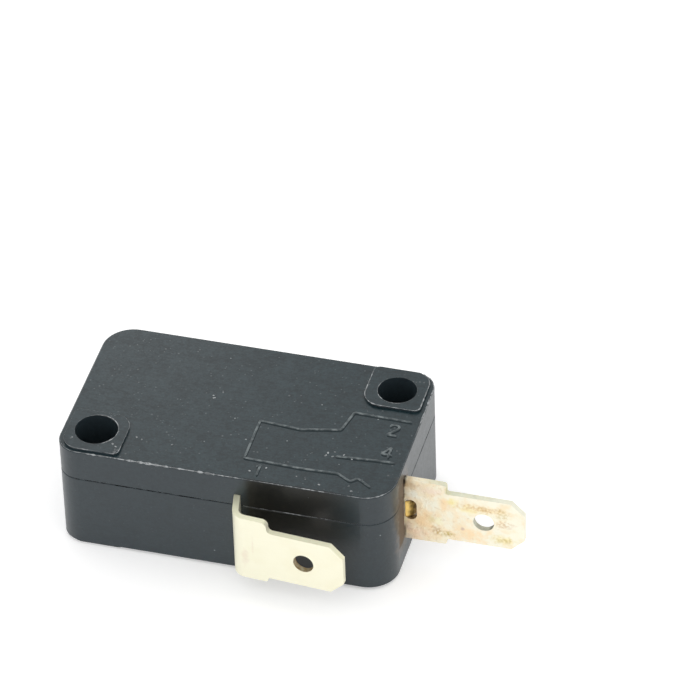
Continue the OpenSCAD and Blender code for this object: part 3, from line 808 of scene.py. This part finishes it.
class Sweep:
    """Tubes of a given section carried along lines, as grids of points."""

    SIDES = 10
    POWER = 0.7
    END_RINGS = 4
    END_SHARE = 0.15
    ANGLES = np.arange(SIDES) * 2 * np.pi / SIDES

    @staticmethod
    def unit(vectors: Array) -> Array:
        """Bring each row's vector to length 1."""
        return vectors / np.linalg.norm(vectors, axis=1, keepdims=True)

    @classmethod
    def ridge(cls, line: Array, z: float, width: Array, height: Array, closed: bool) -> Array:
        """Carry a flat-topped oval along a level line.

        The section at angle a is (width / 2 * c, height * s) sideways and up, where c and s are cos a and
        sin a with their sizes raised to POWER, so that the oval has a broad top.

        Args:
            line: points of the line in plan.
            z: level of the section's middle.
            width: full width at each point.
            height: height above and below the middle at each point.
            closed: whether the line ends where it starts.

        Returns:
            Grid of points, line by section.
        """
        if closed:
            ahead = np.roll(line, -1, axis=0) - np.roll(line, 1, axis=0)
        else:
            ahead = np.gradient(line, axis=0)
        ahead = cls.unit(ahead)
        aside = np.stack([-ahead[:, 1], ahead[:, 0]], axis=1)
        waves = np.cos(cls.ANGLES), np.sin(cls.ANGLES)
        broad, tall = (np.sign(wave) * np.abs(wave) ** cls.POWER for wave in waves)
        plan = line[:, None, :] - aside[:, None, :] * (width[:, None] / 2 * broad)[:, :, None]
        level = z + height[:, None] * tall
        return np.concatenate([plan, level[:, :, None]], axis=2)

    @classmethod
    def wire(cls, path: Array, lean: Array, radius: float) -> Array:
        """Carry a circle along a line in space.

        The circle at each point lies square to the line: its first side is the line's direction crossed
        with a leaning vector, and its second is the first crossed with the direction.

        Args:
            path: points of the line.
            lean: for each point, a vector that isn't along the line.
            radius: the wire's radius.

        Returns:
            Grid of points, line by circle.
        """
        ahead = cls.unit(np.gradient(path, axis=0))
        side = cls.unit(np.cross(ahead, lean))
        across = np.cross(side, ahead)
        cosine, sine = np.cos(cls.ANGLES)[:, None], np.sin(cls.ANGLES)[:, None]
        return path[:, None, :] + radius * (cosine * side[:, None, :] + sine * across[:, None, :])

    @classmethod
    def taper(cls, count: int) -> Array:
        """Round off both ends of a ridge: over the end rings, the factor follows a quarter circle.

        Args:
            count: number of rings of the ridge.

        Returns:
            Factor of each ring's width and height.
        """
        away = np.minimum(np.arange(count), np.arange(count)[::-1])
        share = np.clip((away + cls.END_SHARE) / cls.END_RINGS, 0.0, 1.0)
        return np.sqrt(1.0 - (1.0 - share) ** 2)


class Noise:
    """Repeatable wavering along a line."""

    @staticmethod
    def waver(count: int, period: float, seed: int) -> Array:
        """Give a closed wave: random heights a period apart, joined by straight lines.

        Args:
            count: number of points along the line.
            period: points between the heights.
            seed: number that fixes the random draw.

        Returns:
            Heights between 0 and 1.
        """
        knots = np.random.default_rng(seed).random(max(int(count / period), 3))
        places = np.arange(count) / count * len(knots)
        return np.interp(places, np.arange(len(knots) + 1), np.append(knots, knots[0]))


class Piece:
    """A new mesh that rides on a body of the frame."""

    @staticmethod
    def build(
        name: str, grids: list[Array], closed: bool, body: Body, slot: Slot, material: Material
    ) -> bpy.types.Object:
        """Quads join each point to its neighbours along the line and round the section, and the two ends of an
        open line are closed by one face each.

        Args:
            name: the piece's name.
            grids: grids of points in millimetres, line by section.
            closed: whether their lines are closed.
            body: body that the piece rides on.
            slot: material slot of the record; not used.
            material: finish of the piece.

        Returns:
            The new object.
        """
        faces: list[list[int]] = []
        start = 0
        for grid in grids:
            rows, sides = grid.shape[:2]
            index = start + np.arange(rows * sides).reshape(rows, sides)
            here = index if closed else index[:-1]
            after = np.roll(index, -1, axis=0) if closed else index[1:]
            quads = np.stack([here, after, np.roll(after, -1, axis=1), np.roll(here, -1, axis=1)], axis=2)
            faces.extend(quads.reshape(-1, 4).tolist())
            if not closed:
                faces.append(index[0].tolist())
                faces.append(index[-1, ::-1].tolist())
            start += rows * sides
        points = np.concatenate([grid.reshape(-1, 3) for grid in grids]) * MM
        mesh = bpy.data.meshes.new(name)
        mesh.from_pydata(points.tolist(), [], faces)
        mesh.polygons.foreach_set("use_smooth", np.ones(len(mesh.polygons), bool))
        mesh.materials.append(material)
        made = add_object(name, mesh)
        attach(made, body.value)
        LOG.info("%s: %d faces on %s", name, len(mesh.polygons), body.value)
        return made


@dataclass(frozen=True)
class CaseSizes:
    """Sizes of the case, read from the frame."""

    half_l: float
    half_h: float
    face_z: float
    top_z: float
    seam_z: float
    hole: Point

    PAD_RISE = 0.2

    @classmethod
    def read(cls) -> "CaseSizes":
        """Measure the cover and take the hole's place from the mounts.

        Returns:
            The sizes.
        """
        low, high = (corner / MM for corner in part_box("cover"))
        mounts = {mount["name"]: mount for mount in frame["record"]["mounts"]}
        hole = mounts["hole_right"]["pos_m"]
        return cls(
            half_l=(high.x - low.x) / 2,
            half_h=(high.y - low.y) / 2,
            face_z=high.z - cls.PAD_RISE,
            top_z=high.z,
            seam_z=low.z,
            hole=(hole[0] / MM, hole[1] / MM),
        )


@dataclass(frozen=True)
class Stretch:
    """A stretch of a line with flash or dirt: its middle in plan, half its length and how much there is."""

    x: float
    y: float
    half: float
    amount: float


class Thread:
    """Ragged threads along closed lines, thick in given stretches and sunk into the moulding elsewhere."""

    SLOW, QUICK = 28, 4
    GAIN, CUT = 2.2, 0.55
    SUNK = 0.05

    @staticmethod
    def torn(
        line: Array, z: float, size: float, stretches: tuple[Stretch, ...], seed: int, least: float = 0.0
    ) -> Array:
        """Carry a thread along a closed line.

        The width is the given size times the largest of the stretches' amounts, each faded by
        exp(-(d / half)^4) at distance d from its middle, times the mean of a slow and a quick waver,
        stretched and kept between least and 1. It is at least the sunk share of the size.

        Args:
            line: closed line in plan.
            z: level of the thread's middle.
            size: largest width of the thread.
            stretches: where the thread is thick.
            seed: number that fixes the random draw.
            least: smallest share of the width inside the stretches.

        Returns:
            Grid of points of the thread.
        """
        present = np.zeros(len(line))
        for part in stretches:
            away = np.hypot(line[:, 0] - part.x, line[:, 1] - part.y) / part.half
            present = np.maximum(present, part.amount * np.exp(-(away ** 4)))
        slow = Noise.waver(len(line), Thread.SLOW, seed)
        quick = Noise.waver(len(line), Thread.QUICK, seed + 1)
        ragged = np.clip(Thread.GAIN * ((slow + quick) / 2) - Thread.CUT, least, 1.0)
        width = size * np.clip(present * ragged, Thread.SUNK, 1.0)
        return Sweep.ridge(line, z, width, width / 2, True)


@dataclass
class ContactDiagram:
    """Raised diagram of the contacts on the cover, with plain terminal numbers and a painted shadow at its
    foot.
    """

    sizes: CaseSizes
    stroke: float = 0.22
    rise: float = 0.05
    step: float = 0.06
    soften: int = 6
    figure_height: float = 1.3
    figure_soften: int = 2
    # Place, width share and height of the painted shadow along the strokes' foot.
    foot: Point = (0.08, -0.18)
    foot_share: float = 0.75
    foot_rise: float = 0.02

    LINES = (
        ((1.3, -5.3), (1.3, -0.8), (4.7, -1.1), (7.9, -0.4), (8.4, 1.9), (13.2, 1.8)),
        ((1.2, -5.45), (5.95, -5.65), (9.05, -5.55), (10.2, -6.25), (10.75, -5.75), (11.95, -6.55)),
        ((8.3, -3.6), (11.5, -3.35), (13.1, -3.3)),
    )
    FIGURES = {
        "one": ((-0.22, 0.78), (0.0, 1.0), (0.0, 0.0)),
        "two": (
            (-0.3, 0.75), (-0.2, 0.95), (0.05, 1.0), (0.28, 0.88), (0.28, 0.65), (-0.3, 0.0), (0.32, 0.0),
        ),
        "four": ((0.15, 0.0), (0.15, 1.0), (-0.32, 0.3), (0.35, 0.3)),
    }
    PLACES = {"one": (2.8, -7.3), "two": (12.0, -0.1), "four": (12.2, -2.85)}

    def _strokes(self, shift: Point, share: float, rise: float) -> list[Array]:
        """Raise the lines and the figures off the cover's face.

        Args:
            shift: how far all of them are moved in plan.
            share: share of their full width.
            rise: height above the face.

        Returns:
            Grids of points of the ridges.
        """
        shapes = [(np.array(corners), self.soften) for corners in self.LINES]
        for name, corners in self.FIGURES.items():
            placed = np.array(self.PLACES[name]) + self.figure_height * np.array(corners)
            shapes.append((placed, self.figure_soften))
        grids = []
        for corners, soften in shapes:
            line = Outline.soften(Outline.even(corners + np.array(shift), self.step), soften)
            fall = Sweep.taper(len(line))
            grids.append(Sweep.ridge(line, self.sizes.face_z, share * self.stroke * fall, rise * fall, False))
        return grids

    def build(self, relief: Material, dirt_and_shade: Material) -> None:
        """Make the raised strokes and the painted shadow at their foot.

        Args:
            relief: finish of the strokes.
            dirt_and_shade: finish of the painted shadow.
        """
        raised = self._strokes((0.0, 0.0), 1.0, self.rise)
        # Painted shadow: a dark copy of the strokes, moved towards -Y, along their foot.
        foot = self._strokes(self.foot, self.foot_share, self.foot_rise)
        Piece.build("contact_diagram", raised, False, Body.CASE, Slot.CASE, relief)
        Piece.build("diagram_dirt", foot, False, Body.CASE, Slot.CASE, dirt_and_shade)


@dataclass
class MouldEdges:
    """Torn flash on the cover's edges and pads, and dirt in the seam.

    The pale flash is partly painted highlight, and the dark seam thread is partly painted shade.
    """

    sizes: CaseSizes
    pad_reach: Point = (2.5, 2.15)
    pad_inset: Point = (0.45, 0.25)
    pad_radii: tuple[float, ...] = (1.45, 0.5, 1.5, 0.5)
    case_radii: tuple[float, ...] = (1.9, 2.5, 1.9, 2.5)
    edge: float = 0.05
    # Widths of the pale threads of flash, partly painted highlight, on the edge and on the pads and rims.
    flash_and_highlight: float = 0.19
    pad_flash_and_highlight: float = 0.12
    least: float = 0.4
    # Width of the seam thread of dirt and painted shade.
    dirt_and_shade: float = 0.12
    step: float = 0.05

    SLIVER = 0.001
    EDGE = (
        Stretch(-5.5, -7.9, 7.0, 1.0), Stretch(6.0, -7.9, 4.5, 0.4), Stretch(12.0, -7.2, 2.0, 0.5),
        Stretch(13.85, 4.0, 3.0, 0.9), Stretch(12.8, 7.4, 1.2, 0.8), Stretch(-13.8, -5.5, 1.0, 0.5),
    )
    RIGHT_PAD = (Stretch(8.7, 5.2, 2.2, 0.8), Stretch(11.0, 3.0, 2.5, 1.0), Stretch(13.4, 5.0, 2.4, 1.0))
    LEFT_PAD = (Stretch(-8.7, -7.2, 0.9, 0.9), Stretch(-8.6, -4.5, 1.5, 0.4), Stretch(-12.0, -7.6, 1.5, 0.5))
    SEAM = (
        Stretch(-6.5, -7.9, 7.4, 1.0), Stretch(13.85, 1.5, 6.0, 1.0),
        Stretch(-13.8, 0.0, 7.0, 0.8), Stretch(0.0, 7.9, 13.0, 0.8),
    )
    RIDGE = (Stretch(5.5, -7.9, 3.6, 0.7),)
    # The hole's sign, the rim's radius, the seed and the stretches.
    RIMS = (
        (1.0, 1.62, 11, (Stretch(9.6, 4.6, 1.3, 0.8), Stretch(11.5, 3.6, 1.2, 0.5))),
        (-1.0, 1.77, 13, (Stretch(-10.2, -3.7, 1.6, 0.7), Stretch(-9.6, -5.9, 1.0, 0.9))),
    )

    def build(self, flash_and_highlight: Material, dirt_and_shade: Material) -> None:
        """Make the flash, partly painted highlight, and the seam's dirt and painted shade.

        Args:
            flash_and_highlight: finish of the flash and its painted highlight.
            dirt_and_shade: finish of the seam's dirt and painted shade.
        """
        sizes = self.sizes
        low = np.array(sizes.hole) - self.pad_reach
        high = np.array([sizes.half_l, sizes.half_h]) - self.pad_inset
        pad = Outline.rounded(tuple((low + high) / 2), tuple((high - low) / 2), self.pad_radii, self.step)
        half = (sizes.half_l - self.edge, sizes.half_h - self.edge)
        case = Outline.rounded((0.0, 0.0), half, self.case_radii, self.step)
        # Torn flash, partly painted highlight: pale threads along the edges, pads, seam and hole rims.
        torn = [
            Thread.torn(pad, sizes.top_z, self.pad_flash_and_highlight, self.RIGHT_PAD, seed=1, least=self.least),
            Thread.torn(-pad, sizes.top_z, self.pad_flash_and_highlight, self.LEFT_PAD, seed=3, least=self.least),
            Thread.torn(case, sizes.face_z - self.edge, self.flash_and_highlight, self.EDGE, seed=5, least=self.least),
            Thread.torn(case, sizes.seam_z, self.pad_flash_and_highlight, self.RIDGE, seed=9),
        ]
        for sign, radius, seed, stretches in self.RIMS:
            centre = (sign * sizes.hole[0], sign * sizes.hole[1])
            rim = Outline.rounded(centre, (radius, radius), (radius - self.SLIVER,) * 4, self.step)
            torn.append(Thread.torn(rim, sizes.top_z, self.pad_flash_and_highlight, stretches, seed, self.least))
        # Dirt and painted shade in the seam: a dark thread that gives back almost no light.
        seam = [Thread.torn(case, sizes.seam_z, self.dirt_and_shade, self.SEAM, seed=7)]
        Piece.build("mould_flash", torn, True, Body.CASE, Slot.CASE, flash_and_highlight)
        Piece.build("seam_dirt", seam, True, Body.CASE, Slot.CASE, dirt_and_shade)


@dataclass(frozen=True)
class CrumbPatch:
    """A patch with crumbs: its middle and half sizes in plan, their number, and whether it is on a pad."""

    middle: Point
    half: Point
    count: int
    on_pad: bool = False


@dataclass
class TornSpecks:
    """Pale crumbs of torn plastic, scattered over patches of the cover and of its left pad."""

    sizes: CaseSizes
    seed: int = 21
    length: Point = (0.14, 0.26)
    width_share: float = 0.7
    rise: float = 0.03
    steps: int = 6

    PATCHES = (
        CrumbPatch((-3.3, 0.9), (0.3, 0.4), 3),
        CrumbPatch((8.3, -3.3), (1.4, 0.6), 6),
        CrumbPatch((0.0, -2.0), (8.0, 5.0), 8),
        CrumbPatch((8.5, -6.9), (3.5, 0.6), 4),
        CrumbPatch((-9.15, -6.95), (0.42, 0.55), 6, on_pad=True),
    )

    def build(self, material: Material) -> None:
        """Raise a short rounded ridge at each crumb's place.

        Four random numbers from 0 to 1 give a crumb's place along X and Y in its patch, its length and turn.

        Args:
            material: finish of the crumbs.
        """
        draw = np.random.default_rng(self.seed)
        grids = []
        for patch in self.PATCHES:
            z = self.sizes.top_z if patch.on_pad else self.sizes.face_z
            for x, y, length, turn in draw.random((patch.count, 4)):
                middle = np.array(patch.middle) + np.array([2 * x - 1, 2 * y - 1]) * patch.half
                size = float(np.interp(length, (0.0, 1.0), self.length))
                reach = np.array([math.cos(turn * math.pi), math.sin(turn * math.pi)]) * size / 2
                line = Outline.even(np.array([middle - reach, middle + reach]), size / self.steps)
                fall = Sweep.taper(len(line))
                grids.append(Sweep.ridge(line, z, self.width_share * size * fall, self.rise * fall, False))
        Piece.build("torn_specks", grids, False, Body.CASE, Slot.CASE, material)


@dataclass
class SlotTongue:
    """Lanced tongue that is bent back out of the slot in the end terminal's root."""

    middle_z: float = 5.42
    half_z: float = 0.9
    thickness: float = 0.14
    step: float = 0.03
    soften: int = 4

    PATH = ((13.97, -3.6), (14.1, -3.57), (14.3, -3.45), (14.55, -3.2), (14.75, -2.95))

    def build(self, material: Material) -> None:
        """Carry a flat strip along the tongue's path.

        Args:
            material: finish of the terminal.
        """
        line = Outline.soften(Outline.even(np.array(self.PATH), self.step), self.soften)
        width = np.full(len(line), self.thickness)
        height = np.full(len(line), self.half_z)
        grid = Sweep.ridge(line, self.middle_z, width, height, False)
        Piece.build("slot_tongue", [grid], False, Body.CASE, Slot.END, material)


@dataclass
class SnapSpring:
    """Coil spring with a long hook, along which the trip lever moves while the coil keeps its length.

    The lever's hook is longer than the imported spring's by room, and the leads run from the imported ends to
    the coil.
    """

    wire: float = 0.3
    coil_d: float = 1.7
    coils: int = 20
    hook_r: float = 0.3
    tail: float = 0.7
    room: float = 0.5
    lever_lead: float = 2.0
    arm_lead: float = 1.9
    neck: float = 0.5
    coil_steps: int = 18
    hook_steps: int = 6

    NODE = "snap_spring"

    def _hook(self, x: float, side: float) -> Array:
        """Bend a quarter circle from the tail to the spring's axis.

        Args:
            x: where the tail's middle is.
            side: 1 for the lever's end, whose tail points down, and -1 for the arm's end.

        Returns:
            Points from the tail's end to the axis, in a frame on the axis.
        """
        turn = np.linspace(0.0, np.pi / 2, self.hook_steps + 1)
        bend = np.stack([1 - np.cos(turn), np.sin(turn) - 1], axis=1) * side * self.hook_r + (x, 0.0)
        plan = np.vstack([[x, -side * (self.hook_r + self.tail)], bend])
        return np.column_stack([plan, np.zeros(len(plan))])

    def path(self, low_x: float, high_x: float) -> tuple[Array, Array]:
        """Lay out the wire: hook, straight neck, helix, straight neck, hook.

        The helix at angle a is (x, r sin a, r cos a), with x growing evenly from one lead to the other. The
        wire leans up on the first hook, back along the axis on the helix and down on the last hook, so that
        the circles don't twist where these meet.

        Args:
            low_x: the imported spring's end at the lever.
            high_x: its end at the arm.

        Returns:
            Points of the wire's middle, in a frame on the axis, and the leaning vector at each.
        """
        start, end = low_x + self.lever_lead, high_x - self.arm_lead
        angle = np.linspace(0.0, 2 * np.pi * self.coils, self.coils * self.coil_steps + 1)
        radius = (self.coil_d - self.wire) / 2
        along = np.linspace(start, end, len(angle))
        helix = np.stack([along, radius * np.sin(angle), radius * np.cos(angle)], axis=1)
        lever = self._hook(low_x + self.wire / 2 - self.room, 1.0)
        arm = self._hook(high_x - self.wire / 2, -1.0)
        first = np.vstack([lever, (start - self.neck, 0.0, 0.0)])
        last = np.vstack([(end + self.neck, 0.0, 0.0), arm[::-1]])
        leans = [(0.0, 0.0, 1.0), (-1.0, 0.0, 0.0), (0.0, 0.0, -1.0)]
        lean = np.repeat(leans, [len(first), len(helix), len(last)], axis=0)
        return np.vstack([first, helix, last]), lean

    def build(self, material: Material) -> None:
        """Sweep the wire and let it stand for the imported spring.

        Args:
            material: finish of the spring.
        """
        low, high = (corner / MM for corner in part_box(self.NODE))
        joint = next(row for row in frame["record"]["behaviour"]["joints"] if row["child"] == self.NODE)
        axis = np.array(joint["pos_m"]) / MM * (0.0, 1.0, 1.0)
        path, lean = self.path(low.x, high.x)
        grid = Sweep.wire(path + axis, lean, self.wire / 2)
        made = Piece.build("spring_coil", [grid], False, Body.SPRING, Slot.STEEL, material)
        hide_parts(self.NODE)


@dataclass
class Switch:
    """The whole switch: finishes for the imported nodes, and the pieces added to them."""

    sizes: CaseSizes

    STAIN_HALF = (0.1, 0.4, 2.4)
    COMMON_MARKS = (
        Blotch(7.57, 4.67, 2.0, 2.0, (0.42, 0.27, 0.1), 1.0, Spread.WALL),
        Blotch(2.6, 4.0, 0.35, 0.9, (0.86, 0.76, 0.62), 0.6),
        Blotch(3.3, 5.4, 0.1, 1.2, (0.86, 0.76, 0.6), 0.5),
    )
    # Painted shade on the part of the tongue that lies deeper in the slot.
    TONGUE_PAINTED_SHADE = (Blotch(14.8, 5.4, 0.55, 2.2, (0.11, 0.06, 0.015), 1.0),)

    def finishes(self) -> dict[Slot, Material]:
        """Build one material for each slot of the record.

        Returns:
            Material of each slot.
        """
        low, high = (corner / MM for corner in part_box("end_terminal"))
        stain = dict(
            gate=(self.sizes.half_l, low.y - self.STAIN_HALF[1], (low.z + high.z) / 2),
            gate_half=self.STAIN_HALF,
        )
        looks = {
            Slot.CASE: MouldedPlastic("case plastic", (0.0, 0.009, 0.013), (0.012, 0.03, 0.037), **stain),
            Slot.PLUNGER: MouldedPlastic(
                "plunger plastic", (0.008, 0.016, 0.02), (0.018, 0.031, 0.036), **stain
            ),
            Slot.COMMON: SheetMetal(
                "pale brass", (0.97, 0.945, 0.76), (0.9, 0.85, 0.62), (0.55, 0.47, 0.28), (0.92, 0.91, 0.67),
                metallic=0.55, roughness=(0.42, 0.55), marks=self.COMMON_MARKS,
            ),
            Slot.END: StainedMetal("stained brass", self.sizes.half_l, high.x),
            Slot.SILVER: SheetMetal(
                "contact silver", (0.85, 0.85, 0.83), (0.7, 0.69, 0.66), (0.3, 0.28, 0.26), (0.75, 0.74, 0.72)
            ),
            Slot.BRONZE: SheetMetal(
                "spring bronze", (0.75, 0.5, 0.3), (0.6, 0.38, 0.2), (0.3, 0.18, 0.1), (0.62, 0.4, 0.22)
            ),
            Slot.STEEL: SheetMetal(
                "plated steel", (0.68, 0.69, 0.71), (0.55, 0.56, 0.58), (0.3, 0.3, 0.3), (0.58, 0.59, 0.6)
            ),
        }
        return {slot: look.material() for slot, look in looks.items()}

    def dress(self, finishes: dict[Slot, Material]) -> None:
        """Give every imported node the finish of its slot.

        Args:
            finishes: material of each slot.
        """
        for row in frame["record"]["subparts"]:
            node = frame["nodes"][row["node"]]
            node.material_slots[0].material = finishes[Slot(row["material_slot"])]
            LOG.info("%s: finish of %s", row["node"], row["material_slot"])

    def build(self) -> None:
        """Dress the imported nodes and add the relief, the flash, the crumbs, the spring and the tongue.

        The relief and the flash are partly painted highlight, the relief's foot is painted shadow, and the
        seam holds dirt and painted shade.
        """
        finishes = self.finishes()
        self.dress(finishes)
        # Worn relief, paler in specks, partly painted highlight.
        relief = SpeckledPlastic("worn relief with painted highlight", (0.035, 0.05, 0.055), (0.17, 0.195, 0.2), 0.5, (0.4, 0.64))
        # Painted shadow along the foot of the relief.
        shade = GapDirtAndShade("relief shade", (0.022, 0.03, 0.033), (0.045, 0.056, 0.06))
        ContactDiagram(self.sizes).build(relief.material(), shade.material())
        # Torn flash, partly painted edge highlight, also used for the pale crumbs.
        flash_and_highlight = SpeckledPlastic("torn flash", (0.13, 0.14, 0.145), (0.4, 0.42, 0.43)).material()
        # Dirt and painted shade for the seam.
        dirt_and_shade = GapDirtAndShade("seam dirt", (0.003, 0.003, 0.003), (0.012, 0.012, 0.011))
        MouldEdges(self.sizes).build(flash_and_highlight, dirt_and_shade.material())
        TornSpecks(self.sizes).build(flash_and_highlight)
        SnapSpring().build(finishes[Slot.STEEL])
        tongue = SheetMetal(
            "lanced brass", (0.95, 0.66, 0.2), (0.8, 0.5, 0.14), (0.2, 0.12, 0.04), (0.4, 0.25, 0.08),
            metallic=0.6, marks=self.TONGUE_PAINTED_SHADE,
        )
        SlotTongue().build(tongue.material())


@dataclass(frozen=True)
class Studio:
    """White floor, even light, one small lamp and the camera at the photograph's place."""

    azimuth: float = 16.411
    elevation: float = 40.036
    roll: float = -1.885
    place: Triple = (99.83, -309.25, 288.9)
    focal_px: float = 5328.0
    picture_px: float = 700.0
    sensor: float = 36.0
    clip_start_m: float = 0.01
    floor_half_m: float = 3.0
    floor_drop: float = 0.01
    floor_albedo: float = 0.9
    floor_lift: float = 0.34
    world_strength: float = 1.0
    lamp_place: Triple = (-42.0, 88.0, 66.0)
    lamp_size: float = 30.0
    lamp_watts: float = 0.0046

    def camera(self) -> None:
        """Make the camera from its place and three angles."""
        turn, tilt, lean = (math.radians(a) for a in (self.azimuth, self.elevation, self.roll))
        back = Vector((math.sin(turn) * math.cos(tilt), -math.cos(turn) * math.cos(tilt), math.sin(tilt)))
        level = Vector((math.cos(turn), math.sin(turn), 0.0))
        upright = back.cross(level)
        right = math.cos(lean) * level + math.sin(lean) * upright
        up = -math.sin(lean) * level + math.cos(lean) * upright
        data = bpy.data.cameras.new("camera")
        data.sensor_width = self.sensor
        data.lens = self.focal_px / self.picture_px * self.sensor
        data.clip_start = self.clip_start_m
        made = add_object("camera", data)
        turned = Matrix((right, up, back)).transposed().to_4x4()
        made.matrix_world = Matrix.Translation(Vector(self.place) * MM) @ turned
        bpy.context.scene.camera = made

    @staticmethod
    def _seen(graph: Graph) -> Socket:
        """Tell the rays that show the floor from those that only light the switch.

        Args:
            graph: graph that the nodes go into.

        Returns:
            Socket that is 1 for rays from the camera, from gloss and through glass, and 0 for the others.
        """
        path = graph.node("ShaderNodeLightPath").outputs
        seen = graph.math("MAXIMUM", path["Is Camera Ray"], path["Is Glossy Ray"])
        return graph.math("MAXIMUM", seen, path["Is Transmission Ray"])

    def floor(self) -> None:
        """Lay a white floor that keeps its shadows and is clear from below."""
        half, drop = self.floor_half_m, -self.floor_drop * MM
        mesh = bpy.data.meshes.new("floor")
        corners = [(-half, -half, drop), (half, -half, drop), (half, half, drop), (-half, half, drop)]
        mesh.from_pydata(corners, [], [(0, 1, 2, 3)])
        made = add_object("floor", mesh)
        material = bpy.data.materials.new("white floor")
        graph = Graph.of(material)
        diffuse = graph.node("ShaderNodeBsdfDiffuse", {"Color": (self.floor_albedo,) * 3}).outputs[0]
        strength = graph.times(self._seen(graph), self.floor_lift)
        lift = graph.node("ShaderNodeEmission", {"Strength": strength}).outputs[0]
        lit = graph.node("ShaderNodeAddShader", {0: diffuse, 1: lift}).outputs[0]
        below = graph.node("ShaderNodeNewGeometry").outputs["Backfacing"]
        clear = graph.node("ShaderNodeBsdfTransparent").outputs[0]
        shader = graph.node("ShaderNodeMixShader", {0: below, 1: lit, 2: clear}).outputs[0]
        graph.node("ShaderNodeOutputMaterial", {"Surface": shader})
        mesh.materials.append(material)

    def world(self) -> None:
        """Surround the scene with even white light."""
        world = bpy.data.worlds.new("white room")
        graph = Graph.of(world)
        light = {"Color": (1.0, 1.0, 1.0), "Strength": self.world_strength}
        room = graph.node("ShaderNodeBackground", light).outputs[0]
        graph.node("ShaderNodeOutputWorld", {"Surface": room})
        bpy.context.scene.world = world

    def lamp(self) -> None:
        """Hang a small soft lamp on the plunger's side, towards the closed end, aimed at the origin."""
        data = bpy.data.lights.new("back_softbox", "AREA")
        data.size = self.lamp_size * MM
        data.energy = self.lamp_watts
        made = add_object("back_softbox", data)
        place = Vector(self.lamp_place) * MM
        made.location = place
        made.rotation_euler = (-place).to_track_quat("-Z", "Y").to_euler()

    def build(self) -> None:
        """Make the floor, the light and the camera."""
        self.floor()
        self.world()
        self.lamp()
        self.camera()
        bpy.context.scene.view_settings.view_transform = "Standard"


def clear_startup() -> None:
    """Remove whatever the startup file holds besides the frame."""
    kept = {*frame["nodes"].values(), *frame["bodies"].values()}
    for extra in [thing for thing in bpy.data.objects if thing not in kept]:
        bpy.data.objects.remove(extra)


def main() -> None:
    """Build the switch and its studio."""
    logging.basicConfig(level=logging.INFO, format="%(name)s: %(message)s")
    clear_startup()
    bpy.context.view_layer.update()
    Switch(CaseSizes.read()).build()
    Studio().build()


if __name__ == "__main__":
    main()
